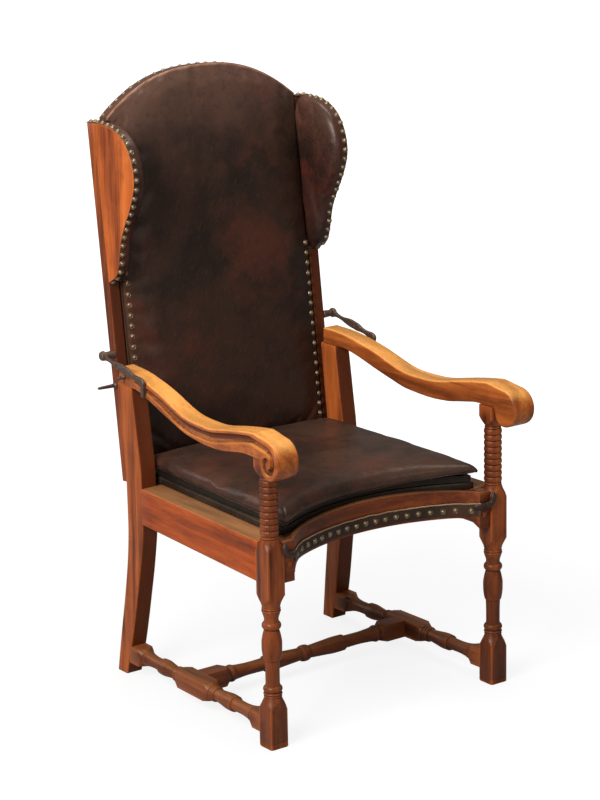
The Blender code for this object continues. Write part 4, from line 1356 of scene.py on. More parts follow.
@dataclass
class Seat:
    """Seat rails, slip seat, and the nailed leather strip on the front rail."""

    rail_low: Pair = (0.3372, 0.3432)       # underside of the side rails at the front and the rear
    rail_top: float = 0.42
    side_out: Pair = (0.297, 0.281)
    side_thick: Pair = (0.06, 0.032)        # thickness of the side rails above and at their underside
    side_y: Pair = (0.0193, 0.4525)
    side_arris: float = 0.0022
    front_depth: float = 0.036
    front_low: Table = (                    # underside of the front rail from its middle
        (0.0, 0.3665), (0.2, 0.3665), (0.212, 0.3652), (0.222, 0.3612), (0.2334, 0.352))
    front_arris: float = 0.0016
    flare: tuple[float, float, float] = (0.18, 0.0534, 0.011)       # where the face grows steeper, and how
    board: float = 0.0145                   # thickness of the hollowed board before the slip frame
    board_top: Table = ((0.0, 0.43), (0.1, 0.4285), (0.19, 0.4245), (0.2334, 0.4222))
    rebate: float = 0.42
    block_x: Pair = (0.2336, 0.2617)        # corner blocks between the hollow and the legs
    block_turn: float = 0.2364              # inner face of the side rails
    block_y: Pair = (-0.0155, 0.0187)
    block_tail: float = 0.012               # how much deeper the blocks are before the side rails
    block_top: float = 0.4198
    block_low: Pair = (0.3355, 0.3432)      # foot of the right and the left block
    block_rise: float = 0.02                # how much higher their feet are sawn behind
    strip_z: Pair = (0.3722, 0.3978)
    strip_half: float = 0.233
    leather: float = 0.0025
    nails: int = 19
    nail_half: float = 0.219
    nail_z: float = 0.3842
    roll_line: Table = (                    # middle line of the strip's rolled end, seen from the front
        (0.2205, 0.39), (0.231, 0.392), (0.242, 0.3928), (0.253, 0.3942), (0.26, 0.4),
        (0.2622, 0.409), (0.2615, 0.4195))
    roll_depth: Table = (
        (0.22, -0.0075), (0.23, -0.0155), (0.238, -0.0195), (0.253, -0.0222), (0.264, -0.025))
    peg: Pair = (0.245, 0.3725)
    peg_half: Pair = (0.0042, 0.0052)
    peg_steps: Table = ((0.002, 0.0), (-0.0015, 0.0), (-0.0028, 0.0012))    # depth and drawing in
    slip: Plan = Plan((0.246, 0.231), 0.0165, 0.49)
    slip_corner: float = 0.016              # how far the front rail's ends bend back
    slip_z: Pair = (0.4203, 0.434)
    slip_wide: float = 0.038
    slip_arris: float = 0.002
    web: Plan = Plan((0.232, 0.217), 0.0305, 0.476)
    web_z: float = 0.4353
    pad: Plan = Plan((0.2395, 0.2285), 0.02, 0.49)
    pad_z: Pair = (0.4366, 0.4505)
    pad_roll: float = 0.0062

    def face(self, x: float) -> float:
        """Front face of the front rail, steeper than its hollow towards the corner blocks."""
        start, run, drop = self.flare
        return self.slip.hollow(x) - drop * max(0.0, (abs(x) - start) / run) ** 2

    def side_rail(self, side: Side) -> None:
        """Side rail, its inner lower edge sawn off.

        Args:
            side: Side of the chair.
        """
        rings = []
        for share in evenly(0.0, 1.0, 12):
            y, out, low = (lerp(*ends, share) for ends in (self.side_y, self.side_out, self.rail_low))
            inner, foot = (out - thick for thick in self.side_thick)
            corners = ((out, self.rail_top), (inner, self.rail_top), (inner, self.front_low[0][1]),
                       (foot, low), (out, low))
            rings.append(Axis.Y.at(y, [(side.value * x, z) for x, z in worn(corners, self.side_arris)]))
        Workpiece(side.named("seat_rail")).sweep(rings, edge=0.001).done(OAK_RAIL, "oak")

    def front_rail(self) -> None:
        """Front rail: a hollowed board that stands above the slip frame's seat, and its corner blocks."""
        rail = Workpiece("seat_rail_front")
        rings = []
        reach = self.block_x[0] - TOUCH
        for x in evenly(-reach, reach, 80):
            near, low, top = self.face(x), eased(self.front_low, abs(x)), eased(self.board_top, abs(x))
            step, far = near + self.board, self.slip.hollow(x) + self.front_depth
            corners = ((near, low), (near, top), (step, top), (step, self.rebate), (far, self.rebate),
                       (far, self.front_low[0][1]))
            rings.append(Axis.X.at(x, worn(corners, self.front_arris, 3, 0.0022)))
        rail.sweep(rings)
        (inner, outer), (near, far), turn = self.block_x, self.block_y, self.block_turn
        tail = far + self.block_tail
        for side, low in zip(Side, self.block_low):
            rings = []
            for x, rear in ((inner, tail), (turn, tail), (turn + TOUCH, far), (outer, far)):
                corners = ((rear, self.block_top), (near, self.block_top), (near, low),
                           (rear, low + self.block_rise))
                rings.append(Axis.X.at(side.value * x, worn(corners, self.front_arris)))
            rail.join(Workpiece("block").sweep(rings, edge=0.0012))
        rail.done(OAK_FRONT, "oak")

    def slip_rail(self, name: str, rings: Iterable[Iterable[Spot]]) -> None:
        """One rail of the slip frame, painted nearly black as shade under the cushion."""
        Workpiece("slip_rail_" + name).sweep(rings, edge=0.0015).done(SHADED_SLIP_WOOD, "plain_wood")

    def slip_frame(self) -> None:
        """Slip frame."""
        (wide, narrow), (low, high), deep = self.slip.half, self.slip_z, self.slip_wide
        rings = []
        for x in evenly(-wide, wide, 48):
            near = self.slip.hollow(x) + self.slip.set_back + self.slip_corner * (x / wide) ** 12
            rings.append(Axis.X.at(x, rounded((near, low), (near + deep, high), self.slip_arris)))
        self.slip_rail("front", rings)
        rear = self.slip.rear - deep
        section = rounded((rear, low), (self.slip.rear, high), self.slip_arris)
        self.slip_rail("rear", [Axis.X.at(x, section) for x in (-narrow, 0.0, narrow)])
        front = self.slip.hollow(wide) + self.slip.set_back + self.slip_corner + deep + TOUCH
        for side in Side:
            self.slip_rail(side.name.lower(), [
                Axis.Y.at(y, side.section((out, out - deep), self.slip_z, self.slip_arris))
                for y, out in ((front, wide), (rear - TOUCH, narrow))])

    def strip(self) -> None:
        """Leather strip on the front rail, pressed in by its nails."""
        rings = []
        for x in evenly(-self.strip_half, self.strip_half, 120):
            near = self.face(x) - self.leather - TOUCH
            wave = 0.0005 * noise.noise(Vector((x * 60.0, 0.0, 3.0)))
            low, high = self.strip_z[0] + wave, self.strip_z[1] + 1.6 * wave
            bulge = 0.0009 * math.sin(0.5 * math.pi * (self.nails - 1) * (x / self.nail_half + 1.0)) ** 2
            middle = 0.5 * (low + high)
            section = rounded((near, low), (near + self.leather, high), 0.001, 2, 0.0004)
            rings.append(Axis.X.at(x, [
                (y - bulge if y < near + 0.001 and abs(z - middle) < 0.011 else y, z) for y, z in section]))
        strip = Workpiece("front_rail_leather").sweep(rings).done(STRIP_HIDE, "hide")
        self.welt()
        places = evenly(-self.nail_half, self.nail_half, self.nails - 1)
        NailRow("strip_nails", Body.FRAME).drive(
            strip, [((x, self.face(x) - 0.05, self.nail_z), (0.0, 1.0, 0.0)) for x in places])

    def welt(self) -> None:
        """Thin pale edge of leather that stands along the top of the strip."""
        rings = []
        for x in evenly(-self.strip_half, self.strip_half, 160):
            y = self.face(x) - self.leather - 0.0008
            z = self.strip_z[1] + 0.0004 + 0.0016 * noise.noise(Vector((x * 45.0, 1.0, 0.0)))
            rings.append(Axis.X.at(x, [(y + 0.0013 * c, z + 0.0014 * s) for c, s in circle(8)]))
        Workpiece("strip_welt").sweep(rings).done(WELT_HIDE, "hide")

    def roll(self, side: Side) -> None:
        """Rolled end of the strip that turns up beside the leg, and the peg under it.

        Args:
            side: Side of the chair.
        """
        path = spline(self.roll_line, 6)
        rings = []
        for k, ((x, z), (dx, dz)) in enumerate(zip(path, headings(path))):
            t = k / (len(path) - 1)
            thick = 0.001 + 0.0062 * (1.0 - (2 * t - 1) ** 6) ** 0.5 * lerp(1.0, 0.8, t)
            thick *= 1.0 + 0.22 * noise.noise(Vector((x * 150.0, z * 150.0, side.value)))
            y = eased(self.roll_depth, x)
            rings.append([(side.value * (x - dz * thick * s), y + 0.85 * thick * c, z + dx * thick * s)
                          for c, s in circle(16)])
        Workpiece(side.named("strip_roll")).sweep(rings).done(SEAM_HIDE, "hide")
        rings = []
        for depth, shrink in self.peg_steps:
            reach, rise = ((middle - half + shrink, middle + half - shrink)
                           for middle, half in zip(self.peg, self.peg_half))
            rings.append(Axis.Y.at(self.block_y[0] + depth, side.section(reach, rise, 0.0012, 2, 0.0006)))
        Workpiece(side.named("rail_peg")).sweep(rings).done(OAK_FRONT, "oak")

    def seat_pad(self) -> None:
        """Leather pad of the slip seat, its edge rolled over."""
        low, high = self.pad_z
        blank = Workpiece("seat_pad").pad(56, 48, lambda u, v: (*self.pad.spot(sine(u), sine(v)), high),
                                          lambda u, v: (*self.pad.spot(sine(u), sine(v)), low))
        blank.round([e for e in blank.mesh.edges if e.calc_face_angle(0.0) > 0.9], self.pad_roll, 5)
        skin = blank.raw()
        foot = low + 0.002
        swollen(skin, lambda p: 1.0 if p.z < foot else 0.2, pressure=1.5, slack=0.012, cap=0.0012)
        rumpled(skin, lambda p: 1.0 if p.z > foot else 0.0, depth=0.001, pitch=0.03)
        hand_in(smoothed(skin), SHADED_PAD_HIDE, Body.FRAME)

    def build(self) -> None:
        """Make every piece; the rear rail keeps its solid."""
        for side in Side:
            self.side_rail(side)
        self.front_rail()
        self.strip()
        for side in Side:
            self.roll(side)
        self.slip_frame()
        webbing = Webbing("seat_webbing", Body.FRAME, SEAT_CANVAS, ((False, 6), (True, 6)), width=0.82,
                          thick=0.0007, weave=0.00055, pieces=48)
        webbing.build(lambda u, v, lift: (*self.web.spot(u, v), self.web_z + lift))
        self.seat_pad()


@dataclass(frozen=True)
class Cushion:
    """Loose knife-edged cushion with a rolled edge and a sewn rim."""

    plan: Plan = Plan((0.244, 0.234), 0.006, 0.5)
    rest: float = 0.4522                    # height of its underside
    rim: Table = (                          # height of the sewn rim across the seat
        (-0.25, 0.448), (-0.15, 0.4505), (0.0, 0.4485), (0.07, 0.4502), (0.14, 0.4535), (0.19, 0.457),
        (0.25, 0.463))
    top: float = 0.4755
    crown: float = 0.0085
    bend: float = 0.017                     # radius of the rolled edge
    tuck: float = 0.6                       # angle by which the seam is tucked under it
    mesh: tuple[int, int] = (92, 78)
    lip_mesh: tuple[int, int] = (150, 120)

    @property
    def room(self) -> float:
        """Depth of the cushion at its middle."""
        return self.plan.rear - self.plan.middle

    @property
    def spare(self) -> float:
        """Leather that the rolled edge takes up beyond its radius."""
        return self.bend * (0.5 * math.pi + self.tuck - 1.0)

    def lap(self, run: float) -> Pair:
        """Follow the leather over the rolled edge.

        Args:
            run: Length of leather above the seam.

        Returns:
            Inset from the outermost line, and share of the height.
        """
        turn = min(run / self.bend, 0.5 * math.pi + self.tuck) - self.tuck
        flat = max(0.0, run - self.bend - self.spare)
        low = math.sin(self.tuck)
        return self.bend * (1.0 - math.cos(turn)) + flat, (math.sin(turn) + low) / (1.0 + low)

    def rolled(self, u: float, v: float) -> Spot:
        """Lay the top leather over the rolled edges.

        Args:
            u: Place across the leather.
            v: Place along the leather.

        Returns:
            Place across and along the plan, and share of the height.
        """
        wide = self.plan.half[0]
        across, rise = self.lap((1.0 - abs(u)) * (wide + self.spare))
        along, climb = self.lap(0.5 * (1.0 - abs(v)) * (self.room + 2 * self.spare))
        return (math.copysign(1.0 - across / wide, u), math.copysign(1.0 - 2.0 * along / self.room, v),
                rise * climb)

    def seam(self, x: float, u: float, v: float) -> float:
        """Height of the sewn rim; it hangs at the right front corner and stands at the left one."""
        ripple = 0.0008 * noise.noise(Vector((9.0 * u, 9.0 * v, 0.5)))
        return lerp(self.rest + 0.004, eased(self.rim, x), 0.5 * (1.0 - v)) + ripple

    def upper(self, u: float, v: float) -> Spot:
        """Lay the top leather.

        Args:
            u: Place across, from -1 to 1.
            v: Place along, from -1 to 1.

        Returns:
            Point of the leather.
        """
        u, v = sine(u), sine(v)
        a, b, share = self.rolled(u, v)
        x, y = self.plan.spot(a, b)
        top = self.top + self.crown * (1 - u * u) * (1 - v * v)
        return x, y, lerp(self.seam(x, u, v), top, share)

    def lower(self, u: float, v: float) -> Spot:
        """Lay the bottom leather, which rests on the pad.

        Args:
            u: Place across, from -1 to 1.
            v: Place along, from -1 to 1.

        Returns:
            Point of the leather.
        """
        u, v = sine(u), sine(v)
        a, b, _ = self.rolled(u, v)
        rim = self.bend * (1.0 - math.cos(self.tuck))
        x, y = self.plan.spot(lerp(u * (1.0 - rim / self.plan.half[0]), a, abs(v) ** 30),
                              lerp(v * (1.0 - 2 * rim / self.room), b, abs(u) ** 30))
        fall = min(1.0, 14.0 * (1.0 - abs(u)), 14.0 * (1.0 - abs(v)))
        return x, y, lerp(self.seam(x, u, v), self.rest, fall)

    @staticmethod
    def rim_of(columns: int, rows: int) -> list[Pair]:
        """Go round the rim of a sheet.

        Args:
            columns: Pieces across.
            rows: Pieces along.

        Returns:
            Places round the rim, in order.
        """
        us, vs = evenly(-1.0, 1.0, columns), evenly(-1.0, 1.0, rows)
        rim = [(u, -1.0) for u in us] + [(1.0, v) for v in vs[1:]]
        return rim + [(u, 1.0) for u in reversed(us[:-1])] + [(-1.0, v) for v in reversed(vs[1:-1])]

    def lip(self) -> None:
        """Thin doubled lip of leather outside the seam."""
        line = [Vector(self.upper(u, v)) for u, v in self.rim_of(*self.lip_mesh)]
        rings = []
        for k, point in enumerate(line):
            way = (line[(k + 1) % len(line)] - line[k - 1]).normalized()
            out = way.cross(Vector((0.0, 0.0, 1.0))).normalized()
            ripple = 0.0005 * math.sin(1.9 * k) + 0.001 * noise.noise((CHAIR @ point) * 55.0)
            point = point + Vector((0.0, 0.0, 0.6 * ripple - 0.0006))
            rings.append([point + out * (0.0002 + 0.0022 * c) + Vector((0.0, 0.0, 0.0012 * s))
                          for c, s in circle(10)])
        Workpiece("cushion_seam").sweep(rings, loop=True).done(SEAM_HIDE, "hide")

    def build(self) -> None:
        """Make the cushion; its seam is held fast and its underside nearly so."""
        skin = Workpiece("seat_cushion").pad(*self.mesh, self.upper, self.lower).raw()
        rim = [CHAIR @ Vector(self.upper(u, v)) for u, v in self.rim_of(*self.mesh)]
        sewn = {tuple(round(c, 5) for c in point) for point in rim}

        def held(point: Vector) -> float:
            """How firmly a point is held."""
            loose = 0.95 if point.z < self.rest + 0.002 else 0.1
            return 0.92 if tuple(round(c, 5) for c in point) in sewn else loose

        swollen(skin, held, pressure=1.5, slack=0.004, cap=0.004)
        rumpled(skin, lambda p: clamp((p.z - 0.462) * 120.0), depth=0.0014, pitch=0.11,
                stretch=(1.8, 1.0, 1.0))
        hand_in(smoothed(skin), SEAT_HIDE, Body.FRAME)
        self.lip()


@dataclass
class Arms:
    """Wavy arms that roll over into a carved volute."""

    out: Table = ((-0.09, 0.321), (0.53, 0.2815))
    inside: Table = ((-0.09, 0.267), (0.53, 0.2415))
    end: float = 0.52
    centre: Pair = (-0.048, 0.594)
    roll: Table = ((80, 0.0435), (130, 0.0395), (180, 0.0365), (230, 0.035), (280, 0.034), (310, 0.0305),
                   (338, 0.0265))
    top: Table = (
        (0.0, 0.644), (0.04, 0.639), (0.1, 0.628), (0.175, 0.615), (0.24, 0.615), (0.29, 0.624),
        (0.33, 0.637), (0.37, 0.648), (0.42, 0.658), (0.47, 0.665), (0.52, 0.666))
    under: Table = (
        (-0.0215, 0.596), (0.024, 0.596), (0.08, 0.588), (0.12, 0.581), (0.17, 0.578), (0.245, 0.582),
        (0.3, 0.594), (0.35, 0.607), (0.42, 0.626), (0.455, 0.632), (0.52, 0.632))
    top_edge: float = 0.0046                # rounding of the edges above, at the end of the scroll and below
    roll_edge: float = 0.005
    low_edge: float = 0.003
    carved_y: Pair = (0.455, 0.012)         # where the hollow starts, and where it turns into the volute
    lip: float = 0.0148                     # middle of the hollow below the top of the arm
    slope: float = 1.8                      # how much further the hollow runs out below
    hollow: Table = (                       # place along the carving, radius of the hollow
        (0.0, 0.0015), (0.06, 0.0048), (0.18, 0.0078), (0.38, 0.008), (0.55, 0.0074), (0.7, 0.0074),
        (0.82, 0.0066), (0.92, 0.005), (1.0, 0.003))
    coil: Table = (                         # degrees about the centre, distance of the hollow
        (80, 0.0266), (130, 0.023), (180, 0.0195), (230, 0.0178), (280, 0.0164), (330, 0.0122),
        (380, 0.0092), (430, 0.0074), (475, 0.0066))
    voxel: float = 0.0013

    def polar(self, table: Table, degrees: float) -> Pair:
        """Point about the scroll's centre, at the distance that a table gives."""
        turn, reach = math.radians(degrees), eased(table, degrees)
        return self.centre[0] + reach * math.cos(turn), self.centre[1] + reach * math.sin(turn)

    def crown(self, y: float) -> float:
        """Top line of the arm, evened out."""
        return sum(eased(self.top, y + 0.012 * k) for k in range(-2, 3)) / 5

    def blank(self, side: Side) -> Item:
        """Saw and round an arm before it is carved.

        Args:
            side: Side of the chair.

        Returns:
            The blank.
        """
        turns = evenly(self.roll[0][0], self.roll[-1][0], 40)[1:]
        edges = evenly(self.top_edge, self.roll_edge, 40)[1:]
        outline = [((y, self.crown(y)), self.top_edge) for y in evenly(self.end, 0.0, 52)]
        outline += [(self.polar(self.roll, degrees), edge) for degrees, edge in zip(turns, edges)]
        outline += [((y, eased(self.under, y)), self.low_edge)
                    for y in evenly(self.under[0][0], self.end, 48)]
        ways = headings([point for point, _ in outline], True)
        quarter = evenly(0.0, 0.5 * math.pi, 4)
        rings = []
        for face, sign, turn in ([(self.inside, 1, turn) for turn in quarter]
                                 + [(self.out, -1, turn) for turn in reversed(quarter)]):
            ring = []
            for ((y, z), edge), (dy, dz) in zip(outline, ways):
                draw = edge * (1.0 - math.sin(turn))
                x = straight(face, y) + sign * edge * (1.0 - math.cos(turn))
                ring.append((side.value * x, y - dz * draw, z + dy * draw))
            rings.append(ring)
        return Workpiece(side.named("arm")).sweep(rings).raw()

    def carving(self) -> list[tuple[Pair, float]]:
        """Draw the hollow along the arm and into the volute.

        Returns:
            Points of its middle line, each with the radius of the hollow.
        """
        path = [(y, self.crown(y) - self.lip) for y in evenly(*self.carved_y, 59)]
        path += [self.polar(self.coil, turn) for turn in evenly(self.coil[0][0], self.coil[-1][0], 90)[1:]]
        return [(point, eased(self.hollow, k / (len(path) - 1))) for k, point in enumerate(path)]

    def mark_carving(self, arm: Item, side: Side) -> None:
        """Mark the points of an arm that lie in the carved hollow, and the lower band of its outer face, for
        dirt and painted shade.

        Args:
            arm: The carved arm.
            side: Side of the chair.
        """
        path = self.carving()
        nearest = KDTree(len(path))
        for k, (point, _) in enumerate(path):
            nearest.insert((0.0, *point), k)
        nearest.balance()
        marks = []
        for vert in arm.data.vertices:
            x, y, z = Body.FRAME.local(vert.co)
            _, k, miss = nearest.find((0.0, y, z))
            radius = path[k][1]
            sunk = clamp((straight(self.out, y) - side.value * x) / (0.9 * radius))
            facing = clamp(2.0 * side.value * vert.normal.x - 0.4)
            # painted shade on the lower part of the outer face
            below = facing * clamp(60.0 * (self.crown(y) - 0.007 - z), 0.45)
            deep = max(below, sunk * clamp(2.4 * (1.05 - miss / radius)))
            marks.append(deep if side.value * x > 0.27 else 0.0)
        Mark.HOLLOW.put(arm, marks)

    def gouge(self, side: Side) -> Item:
        """Make the cutter of the hollow along the outer face that winds into the volute.

        Args:
            side: Side of the chair.

        Returns:
            The cutter, round at its bottom.
        """
        path = self.carving()
        rings = []
        for k, (((y, z), radius), (dy, dz)) in enumerate(zip(path, headings([point for point, _ in path]))):
            x = straight(self.out, y) + 0.12 * radius
            slope = lerp(self.slope, 1.0, clamp((k - 42) / 18))
            ring = []
            for c, s in circle(14):
                off = radius * c * (slope if c > 0.0 else 1.0)
                ring.append((side.value * (x + 1.5 * radius * s), y - dz * off, z + dy * off))
            rings.append(ring)
        return Workpiece("gouge").sweep(rings).raw()

    def build(self) -> None:
        """Make both arms."""
        for side in Side:
            arm = carved(self.blank(side), self.gouge(side), self.voxel, rub=1)
            self.mark_carving(arm, side)
            hand_in(arm, HONEY, Body.FRAME)


@dataclass
class Back:
    """Reclining back: stiles, leather panel, crest and rear cover."""

    stile_x: Pair = (0.243, 0.268)
    stile_y: Pair = (0.013, 0.037)
    stile_z: Pair = (-0.008, 0.738)
    stile_arris: float = 0.0022
    panel_half: float = 0.237
    panel_low: float = 0.0058
    panel_back: float = 0.0124
    panel_edge: float = 0.0055
    panel_round: float = 0.009              # width over which the panel's edge is rounded
    panel_crown: float = 0.01
    crest_end: float = 0.738
    crest_rise: float = 0.091
    crest_fullness: float = 2.4
    crest_lift: float = 0.0028
    crest_y: Pair = (0.01, 0.037)
    cover_y: Pair = (0.0353, 0.0373)
    cover_drop: float = 0.004               # top of the rear cover below the crest
    cover_inset: float = 0.0085             # nails of the rear cover from its edge
    nail_x: float = 0.2295
    nail_pitch: float = 0.022
    nail_z: Pair = (0.03, 0.425)
    web_inset: float = 0.008

    def arch(self, x: float) -> float:
        """Top line of the crest."""
        share = min(1.0, abs(x) / self.stile_x[0])
        return self.crest_end + self.crest_rise * (1.0 - share ** self.crest_fullness)

    def stile(self, side: Side) -> None:
        """Outer stile.

        Args:
            side: Side of the chair.
        """
        section = side.section(self.stile_x, self.stile_y, self.stile_arris)
        piece = Workpiece(side.named("back_stile"), Body.BACK)
        piece.sweep([Axis.Z.at(z, section) for z in evenly(*self.stile_z, 24)], edge=0.0015)
        piece.done(OAK_STILE, "oak")

    def spot(self, u: float, v: float, lift: float) -> tuple[float, float, float, float]:
        """Find a place on the leather of the back.

        Args:
            u: Place across, from -1 to 1.
            v: Place from the bottom, -1, to the top, 1.
            lift: Height of the top over the crest.

        Returns:
            Its x and z, and the eased u and v.
        """
        u, v = sine(u), sine(v)
        x = u * self.panel_half
        return x, lerp(self.panel_low, self.arch(x) + lift, 0.5 * (v + 1.0)), u, v

    def panel_face(self, u: float, v: float) -> Spot:
        """Lay the leather face of the panel.

        Args:
            u: Place across, from -1 to 1.
            v: Place upwards, from -1 to 1.

        Returns:
            Point of the leather.
        """
        x, z, u, v = self.spot(u, v, self.crest_lift)
        edge = min(1.0, (1.0 - abs(u)) * self.panel_half / self.panel_round,
                   (1.0 - abs(v)) * 0.41 / self.panel_round)
        swell = self.panel_edge * math.sqrt(max(0.0, 1.0 - (1.0 - edge) ** 2))
        return x, self.panel_back - swell - self.panel_crown * (1 - u ** 6) * (1 - v ** 8), z

    def panel_rear(self, u: float, v: float) -> Spot:
        """Point of the panel's side against the webbing."""
        x, z, _, _ = self.spot(u, v, self.crest_lift)
        return x, self.panel_back, z

    def panel_held(self, point: Vector) -> float:
        """Tell how firmly the nails and the webbing hold the panel.

        Args:
            point: Point of the scene.

        Returns:
            Hold from 0 to 1, full at the rim and the rear.
        """
        x, y, z = Body.BACK.local(point)
        near = min(self.panel_half - abs(x), z - self.panel_low)
        return 1.0 if y > self.panel_back - 0.0035 else max(0.0, 1.0 - near / 0.018)

    def panel_rubbed(self, point: Vector) -> float:
        """How far the panel is rubbed, and painted with a highlight, at a point, most at its upper rim."""
        x, _, z = Body.BACK.local(point)
        return max(0.0, 1.0 - (self.arch(x) + self.crest_lift - z) / 0.011) if z > self.crest_end else 0.0

    def panel(self) -> None:
        """Stuffed leather front of the back, with nails down both edges from the wings to the seat."""
        skin = Workpiece("back_panel", Body.BACK).pad(76, 120, self.panel_face, self.panel_rear).raw()
        swollen(skin, self.panel_held, pressure=2.5, slack=0.012, cap=0.008)
        rumpled(skin, lambda p: clamp((0.004 - Body.BACK.local(p).y) * 120.0), depth=0.0016, pitch=0.13,
                stretch=(1.0, 1.0, 2.2))
        # rubbed rim of the panel: wear with a painted highlight on its rolled top edge
        Mark.UP.put(skin, [self.panel_rubbed(vert.co) for vert in skin.data.vertices])
        hand_in(smoothed(skin), BACK_HIDE, Body.BACK)
        for side in Side:
            line = [(side.value * self.nail_x, z) for z in self.nail_z]
            NailRow(side.named("panel_nails"), Body.BACK).drive(
                skin, [((x, -0.2, z), (0.0, 1.0, 0.0)) for (x, z), _ in spaced(line, self.nail_pitch)])

    def crest(self) -> None:
        """Leather nailed over the top of the crest."""
        rings = []
        for x in evenly(-self.panel_half, self.panel_half, 96):
            base = self.arch(x) + TOUCH
            top = base + 0.0026 + 0.0004 * noise.noise(Vector((x * 70.0, 0.0, 0.0)))
            section = rounded((self.crest_y[0], base), (self.crest_y[1], top), 0.001, 2, 0.0004)
            rings.append(Axis.X.at(x, section))
        item = Workpiece("crest_leather", Body.BACK).sweep(rings).done(BACK_HIDE, "hide")
        line = [(x, self.arch(x)) for x in evenly(-self.panel_half, self.panel_half, 120)]
        y = self.crest_y[1] - 0.0062
        NailRow("crest_nails", Body.BACK, radius=0.0056, height=0.003).drive(
            item, [((x - 0.05 * dz, y, z + 0.05 * dx), (dz, 0.0, -dx))
                   for (x, z), (dx, dz) in spaced(line, self.nail_pitch, 0.01)])

    def cover_spot(self, u: float, v: float, depth: float, belly: float) -> Spot:
        """Point of the rear cover, at a depth and standing out behind it by a belly."""
        x, z, u, v = self.spot(u, v, -self.cover_drop)
        return x, depth + belly * (1 - u ** 6) * (1 - v ** 6), z

    def cover(self) -> None:
        """Leather over the rear of the back, nailed all round."""
        near, far = self.cover_y
        item = Workpiece("back_cover", Body.BACK).pad(
            56, 88, lambda u, v: self.cover_spot(u, v, far, 0.0025),
            lambda u, v: self.cover_spot(u, v, near, 0.0)).raw()
        rumpled(item, lambda p: 1.0 if Body.BACK.local(p).y > far + 0.0004 else 0.0, depth=0.001, pitch=0.11,
                stretch=(1.0, 1.0, 2.0))
        hand_in(smoothed(item), BACK_HIDE, Body.BACK)
        reach, low = self.panel_half - self.cover_inset, self.panel_low + self.cover_inset
        edge = [(-reach, z) for z in evenly(low, self.crest_end - 0.012, 40)]
        top = [(x, self.arch(x) - self.cover_drop - self.cover_inset) for x in evenly(-reach, reach, 120)]
        round_line = edge + top[1:-1] + [(-x, z) for x, z in reversed(edge)]
        foot = [(x, low) for x in evenly(0.03 - self.panel_half, self.panel_half - 0.03, 30)]
        NailRow("cover_nails", Body.BACK).drive(
            item, [((x, 0.2, z), (0.0, -1.0, 0.0)) for line in (round_line, foot)
                   for (x, z), _ in spaced(line, self.nail_pitch)])

    def build(self) -> None:
        """Make every piece, wings and webbing included."""
        for side in Side:
            self.stile(side)
        self.panel()
        self.crest()
        self.cover()
        for side in Side:
            Wing(side, self).build()
        webbing = Webbing("back_webbing", Body.BACK, BACK_CANVAS, ((True, 5), (False, 9)), width=0.78,
                          thick=0.0006, weave=0.0004, pieces=60)
        half, middle = self.panel_half - self.web_inset, self.panel_back + 0.0013
        low, high = self.panel_low + self.web_inset, self.crest_end - 0.004
        webbing.build(lambda u, v, lift: (u * half, middle + lift, lerp(low, high, 0.5 * (v + 1.0))))


